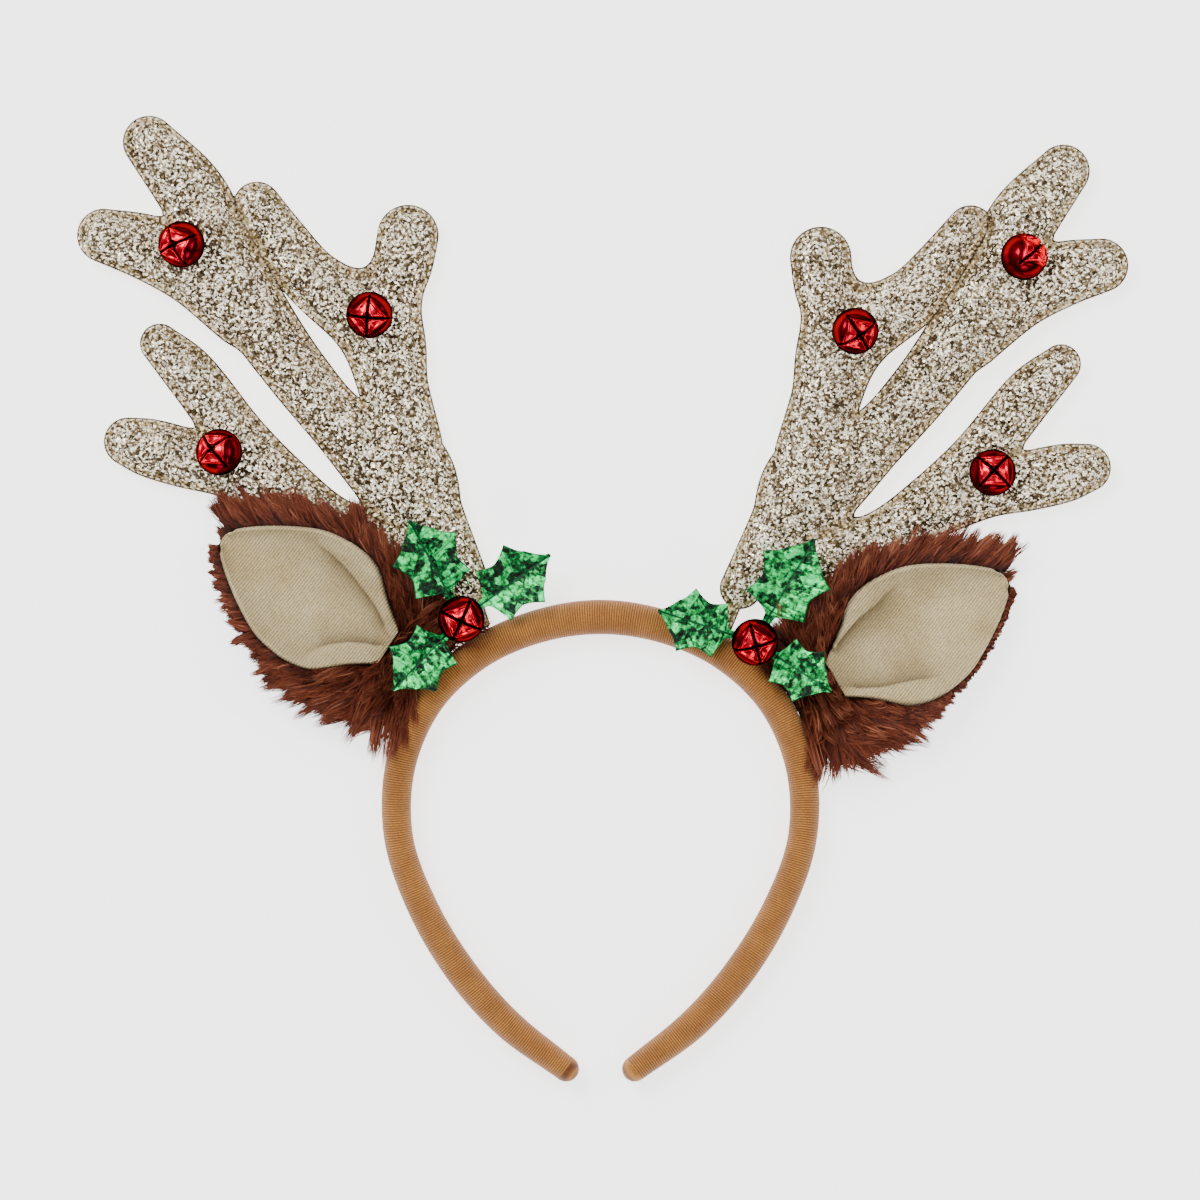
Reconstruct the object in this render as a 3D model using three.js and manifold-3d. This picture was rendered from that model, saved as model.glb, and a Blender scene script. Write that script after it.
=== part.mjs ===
// A reindeer antler headband: a wrapped band, two padded glitter antlers with jingle bells, two
// fur ears with cloth linings, and a sprig of three holly leaves round a bell at each antler's foot.
//
// Millimetres. It lies on its back, as it rests on a table, with its front facing up. The origin
// is the middle of the band's crown, on the table. +X is to the right seen from the front, +Y
// runs from the crown to the antlers' tops, and +Z is the way that the front faces.

import * as THREE from "three";
import { mergeVertices } from "three/addons/utils/BufferGeometryUtils.js";
import Module from "manifold-3d";

const wasm = await Module();
wasm.setup();

// Headband
const BAND_SPAN = 122.4; // between the middles of the two arms, at the widest
const BAND_RISE = 135.5; // from the crown's middle to the middle of a tip
const BAND_THICKNESS = 10.5; // seen from the front, at the crown
const BAND_DEPTH = 12; // front to back
const BAND_SIDES = 12;
const BAND_RINGS = 36;

// Antlers
const ANTLER_REACH = 122.5; // sideways, from the seat on the band to the outermost tip
const ANTLER_RISE = 155; // upwards, from the seat on the band to the top tip
const ANTLER_THICKNESS = 9; // through the padding of the main beam
const BEAM_WIDTH = 21; // across the main beam, with its seams
const SEAM_WIDTH = 3.6; // the flat stitched rim
const SEAM_THICKNESS = 1.2;
const TAB_WIDTH = 8; // the flat tab that is sewn to the band

// Ears
const EAR_LENGTH = 74;
const EAR_WIDTH = 38; // at the widest, without the fur
const EAR_CUP = 10; // how far its edges stand above its middle
const LINING_WALL = 1.5;
const BACKING_WALL = 2.5;
const LINING_SETBACK = 13; // from the band to the lining's foot
const FUR_LENGTH = 13;
const LOCK_WIDTH = 11;
const LOCKS_PER_EDGE = 7;
const UNEVENNESS = 0.14; // of a lock's length
const TIP_THINNING = 0.3; // of the fur's length is lost where the upper edge meets the tip
const LOWER_BUSH = 1.25; // of the fur's length is what the lower edge has at the ear's foot
const LEAST_FUR = 0.12; // of the fur's length is left where it is thinnest

// Holly
const LEAF_LENGTH = 29; // with its stalk
const LEAF_WIDTH = 18.5;
const LEAF_THICKNESS = 0.9;
const LEAF_FOLD = 2; // how far its sides stand above the midrib
const STALK_START = 4; // from the middle of the bell
const SPRIG_RISE = 0.8; // from the band's front to the leaves' backs
const GLUE_DIAMETER = 13;

// Jingle bells
const BELL_DIAMETER = 14;
const BELL_WALL = 0.7;
const BELL_FLAT = 0.13; // how far the four petals flatten the ball, as a share of its radius
const SLOT_WIDTH = 1.3;
const SLOT_LENGTH = 11;
const BELL_SIDES = 12;

const CLEARANCE = 0.3;

// Half of the band's middle line, from the crown to a tip: across and down are shares of half
// the span and of the rise, and thick is a share of the crown's thickness.
const BAND_ROWS = [
  { across: 0.0, down: 0.0, thick: 1.0 },
  { across: 0.309, down: 0.021, thick: 0.97 },
  { across: 0.603, down: 0.081, thick: 0.95 },
  { across: 0.845, down: 0.186, thick: 0.92 },
  { across: 0.98, down: 0.329, thick: 0.88 },
  { across: 0.99, down: 0.487, thick: 0.85 },
  { across: 0.876, down: 0.638, thick: 0.89 },
  { across: 0.688, down: 0.781, thick: 0.92 },
  { across: 0.459, down: 0.899, thick: 0.89 },
  { across: 0.169, down: 1.0, thick: 0.75 },
];

// An antler's limbs, each from its root to its tip: out and up are shares of the antler's reach
// and rise, half is a share of half the beam's width, and lift is a share of the thickness.
const LIMBS = {
  beam: [
    { out: 0.0375, up: 0.0895, half: 0.6, lift: 0 },
    { out: 0.0865, up: 0.155, half: 0.8, lift: 0 },
    { out: 0.1355, up: 0.227, half: 0.98, lift: 0 },
    { out: 0.206, up: 0.31, half: 1.42, lift: 0 },
    { out: 0.344, up: 0.394, half: 0.93, lift: 0 },
    { out: 0.454, up: 0.494, half: 0.9, lift: 0.025 },
    { out: 0.581, up: 0.64, half: 1.0, lift: 0.05 },
    { out: 0.652, up: 0.753, half: 0.95, lift: 0.05 },
    { out: 0.718, up: 0.848, half: 0.99, lift: 0.04 },
    { out: 0.821, up: 0.945, half: 0.755, lift: 0 },
  ],
  beam_tine: [
    { out: 0.598, up: 0.61, half: 0.88, lift: 0.05 },
    { out: 0.716, up: 0.7, half: 1.03, lift: 0.04 },
    { out: 0.827, up: 0.741, half: 0.94, lift: 0.02 },
    { out: 0.932, up: 0.764, half: 0.77, lift: 0 },
  ],
  inner_branch: [
    { out: 0.19, up: 0.358, half: 1.03, lift: 0 },
    { out: 0.228, up: 0.498, half: 0.985, lift: 0 },
    { out: 0.229, up: 0.59, half: 0.84, lift: 0 },
    { out: 0.216, up: 0.657, half: 0.79, lift: 0 },
    { out: 0.199, up: 0.712, half: 0.86, lift: 0 },
    { out: 0.187, up: 0.764, half: 0.88, lift: 0 },
  ],
  inner_tine: [
    { out: 0.246, up: 0.551, half: 0.9, lift: 0 },
    { out: 0.316, up: 0.615, half: 1.0, lift: 0 },
    { out: 0.426, up: 0.684, half: 0.86, lift: -0.03 },
    { out: 0.496, up: 0.754, half: 0.77, lift: -0.05 },
    { out: 0.557, up: 0.822, half: 0.69, lift: -0.05 },
  ],
  lower_branch: [
    { out: 0.148, up: 0.13, half: 0.68, lift: 0 },
    { out: 0.27, up: 0.167, half: 0.77, lift: 0 },
    { out: 0.388, up: 0.214, half: 0.8, lift: 0 },
    { out: 0.496, up: 0.285, half: 0.83, lift: 0 },
    { out: 0.594, up: 0.367, half: 0.8, lift: 0.04 },
    { out: 0.722, up: 0.498, half: 0.75, lift: 0.04 },
    { out: 0.795, up: 0.555, half: 0.57, lift: 0 },
  ],
  lower_tine: [
    { out: 0.515, up: 0.266, half: 0.74, lift: 0 },
    { out: 0.638, up: 0.312, half: 0.8, lift: 0 },
    { out: 0.736, up: 0.334, half: 0.86, lift: 0 },
    { out: 0.817, up: 0.352, half: 0.84, lift: 0 },
    { out: 0.873, up: 0.365, half: 0.69, lift: 0 },
  ],
};

// An ear from its foot to its tip: along is a share of its length, half of half its width, lined
// is the lining's share of that half, and cup and keel, the middle's height over the table, are
// shares of the cup's depth.
const EAR_ROWS = [
  { along: 0.0, half: 0.74, lined: 0.2, cup: 0.45, keel: 0.1 },
  { along: 0.14, half: 0.86, lined: 0.24, cup: 0.62, keel: 0.04 },
  { along: 0.28, half: 0.96, lined: 0.5, cup: 0.82, keel: 0 },
  { along: 0.41, half: 1.0, lined: 0.88, cup: 0.97, keel: 0 },
  { along: 0.54, half: 1.0, lined: 1, cup: 1.0, keel: 0 },
  { along: 0.67, half: 0.92, lined: 1, cup: 0.9, keel: 0.05 },
  { along: 0.8, half: 0.67, lined: 1, cup: 0.68, keel: 0.14 },
  { along: 0.91, half: 0.38, lined: 1, cup: 0.42, keel: 0.26 },
  { along: 1.0, half: 0.08, lined: 1, cup: 0.1, keel: 0.4 },
];

// Half of a holly leaf's outline from its stalk to its tip: rib is where the midrib is reached
// and edge where the outline is, as shares of the length, and half is a share of half the width.
const LEAF_ROWS = [
  { rib: 0.0, edge: 0.0, half: 0.1 },
  { rib: 0.16, edge: 0.16, half: 0.14 },
  { rib: 0.24, edge: 0.27, half: 0.86 },
  { rib: 0.4, edge: 0.45, half: 0.62 },
  { rib: 0.56, edge: 0.66, half: 1.0 },
  { rib: 0.76, edge: 0.79, half: 0.42 },
  { rib: 0.98, edge: 0.98, half: 0.05 },
];

// Each side of the headband. Seats are shares of the half band's length, from the crown to the
// tip. Angles are in degrees: lean turns outwards from straight up, heading is measured from
// straight outwards, and a bell's face looks to its heading, tilted away from the front. Tuck is
// the share of its reach that an antler has lost at its top. Growth tells which limbs differ from
// the table, by a stretch from the limb's root and an angle that it leans outwards there. Thinning
// is the share of its length that the fur loses along an ear's lower edge, from its foot to its tip.
const SIDES = [
  {
    name: "left",
    mirror: -1,
    antler: { seat: 0.178, lean: 0, tuck: 0, growth: {} },
    ear: { seat: 0.281, lean: 56.5, thinning: 0.65 },
    sprig: { seat: 0.196, off: 6.2, bell: { heading: 270, tilt: 8, spin: 25 } },
    leaves: [
      { heading: 62, climb: 7, size: 1.18 },
      { heading: 144, climb: 5, size: 1.15 },
      { heading: -46, climb: 12, size: 1.06 },
    ],
    bells: [
      { out: 0.736, up: 0.743, heading: -10, tilt: 24, spin: 45 },
      { out: 0.278, up: 0.607, heading: -60, tilt: 12, spin: 5 },
      { out: 0.645, up: 0.343, heading: 25, tilt: 24, spin: 50 },
    ],
  },
  {
    name: "right",
    mirror: 1,
    antler: {
      seat: 0.187,
      lean: 4.2,
      tuck: 0.1,
      growth: {
        beam: { stretch: 1, lean: 0.4 },
        inner_branch: { stretch: 0.94, lean: 0 },
        inner_tine: { stretch: 1.02, lean: 3 },
        lower_branch: { stretch: 1.04, lean: 0.5 },
        lower_tine: { stretch: 1.06, lean: 0 },
      },
    },
    ear: { seat: 0.334, lean: 59.4, thinning: 1.5 },
    sprig: { seat: 0.231, off: 3.3, bell: { heading: 280, tilt: 14, spin: 15 } },
    leaves: [
      { heading: 162, climb: 5, size: 1.07 },
      { heading: 60, climb: 8, size: 1.26 },
      { heading: -33, climb: 12, size: 0.97 },
    ],
    bells: [
      { out: 0.72, up: 0.766, heading: 30, tilt: 58, spin: 40 },
      { out: 0.285, up: 0.599, heading: -50, tilt: 20, spin: 33 },
      { out: 0.65, up: 0.347, heading: 80, tilt: 6, spin: 47 },
    ],
  },
];

const finish = (color, roughness, metalness) =>
  new THREE.MeshStandardMaterial({ color, roughness, metalness });
const FINISHES = {
  band: finish(0xb07a3c, 0.95, 0),
  glitter: finish(0xb3a285, 0.4, 0.6),
  lining: finish(0xcbbd96, 0.95, 0),
  fur: finish(0x5c2412, 0.9, 0),
  leaf: finish(0x1f9e55, 0.3, 0.8),
  bell: finish(0xb5121b, 0.2, 0.9),
  glue: finish(0xd9d2cc, 0.3, 0),
};

const radians = THREE.MathUtils.degToRad;
const SAME_POINT = 1e-4; // points nearer than this are one

// Solids

// A closed skin over rings of points with strips across its two ends. Each ring runs along one
// face and back along the other, so that its two halves can be paired.
function loft(rings) {
  const around = rings[0].length;
  const faces = [];
  const quad = (a, b, c, d) => faces.push(a, b, c, a, c, d);
  for (let r = 0; r + 1 < rings.length; r++) {
    for (let i = 0; i < around; i++) {
      const a = r * around + i;
      const b = r * around + ((i + 1) % around);
      quad(a, b, b + around, a + around);
    }
  }
  const last = (rings.length - 1) * around;
  for (let i = 0; i < around / 2 - 1; i++) {
    const j = around - 1 - i;
    quad(i, j, j - 1, i + 1);
    quad(last + i, last + i + 1, last + j - 1, last + j);
  }
  const geometry = new THREE.BufferGeometry();
  const points = rings.flat().flatMap((p) => p.toArray());
  geometry.setAttribute("position", new THREE.Float32BufferAttribute(points, 3));
  return geometry.setIndex(faces);
}

// A closed geometry as a solid for cutting and joining, with its faces turned outwards.
function solid(geometry) {
  const bare = new THREE.BufferGeometry();
  bare.setAttribute("position", geometry.getAttribute("position"));
  if (geometry.index) bare.setIndex(geometry.index);
  const merged = mergeVertices(bare, SAME_POINT);
  const make = (triVerts) =>
    new wasm.Manifold(
      new wasm.Mesh({
        numProp: 3,
        vertProperties: new Float32Array(merged.getAttribute("position").array),
        triVerts: new Uint32Array(triVerts),
      }),
    );
  const made = make(merged.index.array);
  return made.volume() > 0 ? made : make([...merged.index.array].reverse());
}

function geometryOf(shape) {
  const { numProp, vertProperties, triVerts } = shape.getMesh();
  const points = [];
  for (let i = 0; i < vertProperties.length; i += numProp)
    points.push(...vertProperties.slice(i, i + 3));
  const geometry = new THREE.BufferGeometry();
  geometry.setAttribute("position", new THREE.Float32BufferAttribute(points, 3));
  geometry.setIndex([...triVerts]);
  return geometry;
}

const joined = (shapes) => shapes.reduce((whole, shape) => whole.add(shape));
const without = (shape, cutters) => cutters.reduce((rest, cutter) => rest.subtract(cutter), shape);
const largest = (shape) =>
  shape.decompose().reduce((best, piece) => (piece.volume() > best.volume() ? piece : best));

function pieceOf(name, geometry, material) {
  const shaded = geometry.index ? geometry.toNonIndexed() : geometry;
  shaded.computeVertexNormals();
  const mesh = new THREE.Mesh(shaded, material);
  mesh.name = name;
  return mesh;
}

// A smooth run through one, two or three columns of a table.
const runThrough = (rows, point) => new THREE.CatmullRomCurve3(rows.map(point));

// Headband

const halfBand = BAND_ROWS.map(
  (row) => new THREE.Vector3((row.across * BAND_SPAN) / 2, -row.down * BAND_RISE, BAND_DEPTH / 2),
);
const armLine = new THREE.CatmullRomCurve3([
  ...halfBand.slice(1).reverse().map((p) => new THREE.Vector3(-p.x, p.y, p.z)),
  ...halfBand,
]);
const armThickness = runThrough(
  [...BAND_ROWS.slice(1).reverse(), ...BAND_ROWS],
  (row) => new THREE.Vector3(row.thick * BAND_THICKNESS, 0, 0),
);

// One ring round the band: an even polygon that lies on one of its sides.
function bandRing(t, thickness, depth) {
  const middle = armLine.getPoint(t);
  const ahead = armLine.getTangent(t);
  const outward = new THREE.Vector3(-ahead.y, ahead.x, 0);
  const corner = 1 / Math.cos(Math.PI / BAND_SIDES);
  return Array.from({ length: BAND_SIDES }, (_, i) => {
    const turn = (2 * Math.PI * (i + 0.5)) / BAND_SIDES;
    return middle
      .clone()
      .addScaledVector(outward, (corner * Math.cos(turn) * thickness) / 2)
      .setZ(middle.z + (corner * Math.sin(turn) * depth) / 2);
  });
}

const BAND_ENDS = [0.5, 0.82, 0.97]; // of the radius is where a tip's rings lie

// A round end past a tip: share is how far along the radius, and the ring shrinks to match.
function bandEnd(end, share, grow) {
  const radius = armThickness.getPoint(end).x / 2 + grow;
  const scale = Math.sqrt(1 - share * share);
  const ahead = armLine.getTangent(end).multiplyScalar((end ? 1 : -1) * share * radius);
  return bandRing(end, 2 * radius * scale, (BAND_DEPTH + 2 * grow) * scale).map((p) => p.add(ahead));
}

function bandGeometry(grow = 0) {
  const rings = [];
  for (let i = 0; i <= BAND_RINGS; i++) {
    const t = i / BAND_RINGS;
    rings.push(bandRing(t, armThickness.getPoint(t).x + 2 * grow, BAND_DEPTH + 2 * grow));
  }
  return loft([
    ...BAND_ENDS.toReversed().map((share) => bandEnd(0, share, grow)),
    ...rings,
    ...BAND_ENDS.map((share) => bandEnd(1, share, grow)),
  ]);
}

// The point on the outer edge of the right arm at a share of the way from the crown to the tip,
// a distance off it, and at a height.
function besideBand(seat, off, height) {
  const t = armLine.getUtoTmapping(0.5 + seat / 2);
  const ahead = armLine.getTangent(t);
  const outward = new THREE.Vector3(-ahead.y, ahead.x, 0);
  const reach = armThickness.getPoint(t).x / 2 + off;
  return armLine.getPoint(t).addScaledVector(outward, reach).setZ(height);
}

// Antlers

// The padding's rise over the seam. A limb that is narrower than the beam swells less, but more
// than in proportion.
const FULL_PADDING = BEAM_WIDTH / 2 - SEAM_WIDTH;
const SWELL_POWER = 0.75;
const paddingRise = (padded) =>
  ((ANTLER_THICKNESS - SEAM_THICKNESS) / 2) * Math.min(1, padded / FULL_PADDING) ** SWELL_POWER;

const LEAST_PADDING = 0.4; // of a limb's half width
const CREST = 0.45; // of the padding's half width is at its full height
const PAD_END = 0.9; // the padding's share of the rounded tip
const ROOT_END = 0.7; // of the radius is where the root's ring lies
const TIP_ENDS = [0.6, 0.95]; // of the radius is where the tip's rings lie

// One ring across a limb: a flat seam at each edge, and padding that swells between them.
function limbRing(middle, ahead, half, padded, rise, grow) {
  const side = new THREE.Vector3(-ahead.y, ahead.x, 0).normalize();
  const seam = SEAM_THICKNESS / 2 + grow;
  const front = [
    [half + grow, seam],
    [padded, seam],
    [padded * CREST, seam + rise],
    [-padded * CREST, seam + rise],
    [-padded, seam],
    [-half - grow, seam],
  ];
  const back = front.toReversed().map(([across, height]) => [across, -height]);
  return [...front, ...back].map(([across, height]) =>
    middle.clone().addScaledVector(side, across).setZ(middle.z + height),
  );
}

const AS_DRAWN = { stretch: 1, lean: 0 };
const TURN_AXIS = new THREE.Vector3(0, 0, 1);

// The middles of a limb's rows, stretched and leaned outwards about the first.
function limbPlaces(rows, tuck, { stretch, lean }) {
  const places = rows.map(
    (row) =>
      new THREE.Vector3(
        row.out * ANTLER_REACH * (1 - tuck * row.up),
        row.up * ANTLER_RISE,
        (0.5 + row.lift) * ANTLER_THICKNESS,
      ),
  );
  const root = places[0].clone().setZ(0);
  return places.map((place) => {
    const reach = place.clone().sub(root).applyAxisAngle(TURN_AXIS, -radians(lean));
    return new THREE.Vector3(reach.x * stretch, reach.y * stretch, reach.z).add(root);
  });
}

// A limb along its rows. Its tip is rounded by rings that narrow past the last row, and its
// root by one before the first.
function limbGeometry(rows, grow, tuck, growth) {
  const places = new THREE.CatmullRomCurve3(limbPlaces(rows, tuck, growth));
  const padOf = (half) => Math.max(half - SEAM_WIDTH, half * LEAST_PADDING);
  const ring = (i, share) => {
    const t = i / (rows.length - 1);
    const half = (rows[i].half * BEAM_WIDTH) / 2;
    const ahead = places.getTangent(t);
    const middle = places.getPoint(t).addScaledVector(ahead, (i ? 1 : -1) * share * half);
    const narrowed = half * Math.sqrt(1 - share * share);
    const padShare = Math.min(PAD_END, (share * half) / padOf(half));
    const padNarrowing = Math.sqrt(1 - padShare * padShare);
    const padded = Math.min(padOf(half) * padNarrowing, narrowed * PAD_END);
    const rise = paddingRise(padOf(half)) * padNarrowing;
    return limbRing(middle, ahead, narrowed, padded, rise, grow);
  };
  const tip = rows.length - 1;
  return loft([
    ring(0, ROOT_END),
    ...rows.map((_, i) => ring(i, 0)),
    ...TIP_ENDS.map((share) => ring(tip, share)),
  ]);
}

// The flat tab from the antler's foot down to its seat on the band.
function tabGeometry(grow) {
  const [foot] = LIMBS.beam;
  const top = new THREE.Vector3(foot.out * ANTLER_REACH, foot.up * ANTLER_RISE, 0);
  const height = ANTLER_THICKNESS / 2;
  const half = SEAM_THICKNESS / 2 + grow;
  const side = new THREE.Vector3(top.y, -top.x, 0).normalize();
  return loft(
    [new THREE.Vector3(), top].map((at) =>
      [
        [TAB_WIDTH / 2 + grow, half],
        [-TAB_WIDTH / 2 - grow, half],
        [-TAB_WIDTH / 2 - grow, -half],
        [TAB_WIDTH / 2 + grow, -half],
      ].map(([across, up]) => at.clone().addScaledVector(side, across).setZ(height + up)),
    ),
  );
}

// An antler in its own frame: its origin is its seat on the band's outer edge.
function antlerSolid(grow, { tuck, growth }) {
  const limbs = Object.entries(LIMBS).map(([name, rows]) =>
    limbGeometry(rows, grow, tuck, growth[name] ?? AS_DRAWN),
  );
  return joined([...limbs, tabGeometry(grow)].map(solid));
}

// Ears

const CUP_POINTS = 7; // across one face of the cup
const KEEL_HEIGHT = BACKING_WALL + CLEARANCE + LINING_WALL;

// The ear's cross-section at t: an arc through both edges and the keel.
const earLine = runThrough(
  EAR_ROWS,
  (row) => new THREE.Vector3(row.along * EAR_LENGTH, (row.half * EAR_WIDTH) / 2, row.lined),
);
const earDepths = runThrough(
  EAR_ROWS,
  (row) => new THREE.Vector3(row.cup * EAR_CUP, KEEL_HEIGHT + row.keel * EAR_CUP, 0),
);
function earSection(t) {
  const { x: along, y: half, z: lined } = earLine.getPoint(t);
  const { x: cup, y: keel } = earDepths.getPoint(t);
  const radius = (half * half + cup * cup) / (2 * cup);
  return { along, radius, roll: 2 * Math.atan(cup / half), centre: keel + radius, lined };
}

// A point of the ear: under is how far below the lining's face it lies, and side runs from -1 at
// one edge to 1 at the other.
function earPoint(t, side, under) {
  const { along, radius, roll, centre } = earSection(t);
  const turn = side * roll;
  return new THREE.Vector3(
    along,
    (radius + under) * Math.sin(turn),
    centre - (radius + under) * Math.cos(turn),
  );
}

// A cup-shaped wall of the ear between two depths under the lining's face, from a start, as a
// share of the ear, to the tip. It reaches both edges, or as far as the lining does.
function cupGeometry(top, bottom, start, isLining) {
  const steps = EAR_ROWS.length;
  const rings = Array.from({ length: steps + 1 }, (_, k) => {
    const t = start + ((1 - start) * k) / steps;
    const reach = isLining ? earSection(t).lined : 1;
    const face = (under) =>
      Array.from({ length: CUP_POINTS }, (_, i) =>
        earPoint(t, reach * ((2 * i) / (CUP_POINTS - 1) - 1), under),
      );
    return [...face(top), ...face(bottom).reverse()];
  });
  return loft(rings);
}

// A lock of fur from its root to its point: out is a share of its length, wide of its width, and
// swept is how far it has turned towards the ear's tip, as a share of its length.
const LOCK_ROWS = [
  { out: 0, wide: 0.8, swept: 0 },
  { out: 0.5, wide: 0.9, swept: 0.2 },
  { out: 0.75, wide: 0.12, swept: 0.5 },
];

// One lock: level is the share of its slope that it has lost where it leaves the backing.
function lockGeometry({ t, side, length, level }) {
  const root = earPoint(t, side, LINING_WALL + CLEARANCE + BACKING_WALL / 2);
  const along = new THREE.Vector3(1, 0, 0);
  const outward = earPoint(t, side, EAR_WIDTH).sub(root).normalize();
  outward.z *= 1 - level;
  outward.normalize();
  const across = new THREE.Vector3().crossVectors(outward, along).normalize();
  return loft(
    LOCK_ROWS.map(({ out, wide, swept }) => {
      const middle = root
        .clone()
        .addScaledVector(outward, length * out)
        .addScaledVector(along, length * swept);
      const half = (LOCK_WIDTH * wide) / 2;
      return [
        middle.clone().addScaledVector(along, -half),
        middle.clone().addScaledVector(across, half / 2),
        middle.clone().addScaledVector(along, half),
        middle.clone().addScaledVector(across, -half / 2),
      ];
    }),
  );
}

// The hollow of the cup, upwards from a depth under the lining's face.
function hollowGeometry(under) {
  const steps = EAR_ROWS.length;
  const rings = Array.from({ length: steps + 1 }, (_, k) => {
    const floor = Array.from({ length: CUP_POINTS }, (_, i) =>
      earPoint(k / steps, (2 * i) / (CUP_POINTS - 1) - 1, under),
    );
    const roof = floor.map((p) => p.clone().setZ(p.z + 2 * EAR_CUP));
    return [...roof, ...floor.reverse()];
  });
  return loft(rings);
}

// Locks that stand out nearly level from both edges, with shorter ones lower down between them.
function furLocks(thinning) {
  const spacing = 0.92 / (LOCKS_PER_EDGE - 1);
  const locks = [];
  for (const edge of [-1, 1]) {
    for (let i = 0; i < LOCKS_PER_EDGE; i++) {
      const t = 0.04 + spacing * i;
      const uneven = 1 + UNEVENNESS * Math.sin(2.4 * i + edge);
      const kept = edge < 0 ? Math.max(LEAST_FUR, LOWER_BUSH - thinning * t) : 1 - TIP_THINNING * t;
      const length = FUR_LENGTH * uneven * kept;
      locks.push({ t, side: edge * 0.92, length, level: 0.8 });
      if (i + 1 < LOCKS_PER_EDGE)
        locks.push({ t: t + spacing / 3, side: edge * 0.6, length: length * 0.9, level: 0.5 });
    }
  }
  return locks.map(lockGeometry);
}

// Holly

function leafGeometry(size, grow = 0) {
  const length = LEAF_LENGTH * size;
  const half = (LEAF_WIDTH * size) / 2;
  const thick = LEAF_THICKNESS / 2 + grow;
  return loft(
    LEAF_ROWS.map((row, i) => {
      const past = i === 0 ? -grow : grow;
      const rib = STALK_START + row.rib * (length - STALK_START) + past;
      const edge = STALK_START + row.edge * (length - STALK_START) + past;
      const reach = row.half * half + grow;
      const fold = row.half * LEAF_FOLD;
      return [
        new THREE.Vector3(edge, reach, fold + thick),
        new THREE.Vector3(rib, 0, thick),
        new THREE.Vector3(edge, -reach, fold + thick),
        new THREE.Vector3(edge, -reach, fold - thick),
        new THREE.Vector3(rib, 0, -thick),
        new THREE.Vector3(edge, reach, fold - thick),
      ];
    }),
  );
}

// A blob of clear glue, which runs up between the leaves to the bell.
function glueGeometry(height, grow) {
  const radius = GLUE_DIAMETER / 2 + grow;
  const rise = height + 2 * grow;
  const profile = [
    [0, 0],
    [0.9, 0],
    [1, 0.3],
    [0.85, 0.7],
    [0.5, 1],
    [0, 1],
  ];
  return new THREE.LatheGeometry(
    profile.map(([out, up]) => new THREE.Vector2(out * radius, up * rise - grow)),
    BELL_SIDES,
  ).rotateX(Math.PI / 2);
}

// Jingle bells

// A ball whose front half is pressed flat on four sides.
function petalBall(radius, sides, bands) {
  const profile = Array.from({ length: bands + 1 }, (_, i) => {
    const turn = (Math.PI * i) / bands - Math.PI / 2;
    const onAxis = i === 0 || i === bands;
    return new THREE.Vector2(onAxis ? 0 : radius * Math.cos(turn), radius * Math.sin(turn));
  });
  const ball = new THREE.LatheGeometry(profile, sides, Math.PI / sides).rotateX(Math.PI / 2);
  const at = ball.getAttribute("position");
  for (let i = 0; i < at.count; i++) {
    const front = Math.max(0, at.getZ(i) / radius);
    const turn = Math.atan2(at.getY(i), at.getX(i));
    const side = 1 - (BELL_FLAT * Math.min(1, 2 * front) * (1 + Math.cos(4 * turn))) / 2;
    const face = 1 - (BELL_FLAT * front) / 2;
    at.setXYZ(i, at.getX(i) * side, at.getY(i) * side, at.getZ(i) * face);
  }
  return ball;
}

// The bell's shell, open at two slots that cross in the middle of its face.
function bellShape() {
  const radius = BELL_DIAMETER / 2;
  const outside = solid(petalBall(radius, BELL_SIDES, 6));
  const inside = solid(petalBall(radius - BELL_WALL, BELL_SIDES / 2, 4));
  const slots = [0, Math.PI / 2].map((turn) => {
    const slot = new THREE.BoxGeometry(SLOT_LENGTH, SLOT_WIDTH, radius);
    return solid(slot.translate(0, 0, radius * 0.75).rotateZ(turn + Math.PI / 4));
  });
  return without(outside, [inside, ...slots]);
}

// A faceted ball that a smooth one of this radius fits inside.
function ballKeepOut(radius) {
  const sides = 12;
  const flats = Math.cos(Math.PI / sides) ** 2;
  return new THREE.SphereGeometry(radius / flats, sides, sides / 2);
}

// The height of a ball's middle when it is set down on the front of a piece.
function restingHeight(piece, x, y, radius) {
  const down = new THREE.Vector3(0, 0, -1);
  const circles = 9;
  const spokes = 24;
  let height = 0;
  for (let circle = 0; circle < circles; circle++) {
    for (let spoke = 0; spoke < spokes; spoke++) {
      const out = (radius * circle) / circles;
      const turn = (2 * Math.PI * spoke) / spokes;
      const above = new THREE.Vector3(Math.cos(turn), Math.sin(turn), 0).multiplyScalar(out);
      above.add(new THREE.Vector3(x, y, ANTLER_RISE));
      const [hit] = new THREE.Raycaster(above, down).intersectObject(piece);
      if (hit) height = Math.max(height, hit.point.z + Math.sqrt(radius * radius - out * out));
    }
  }
  return height;
}

// Turns a bell so that its face looks to a heading, tilted away from straight up.
function faceTo(mesh, { heading, tilt, spin }) {
  const axis = new THREE.Vector3(-Math.sin(radians(heading)), Math.cos(radians(heading)), 0);
  mesh.quaternion
    .setFromAxisAngle(axis, radians(tilt))
    .multiply(new THREE.Quaternion().setFromAxisAngle(new THREE.Vector3(0, 0, 1), radians(spin)));
}

// Assembly

// A solid moved to where a mesh of its own frame stands.
function placed(geometry, mesh) {
  mesh.updateMatrix();
  return solid(geometry.clone().applyMatrix4(mesh.matrix));
}

const bell = geometryOf(bellShape());
const bandKeepOut = solid(bandGeometry(CLEARANCE));

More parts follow.
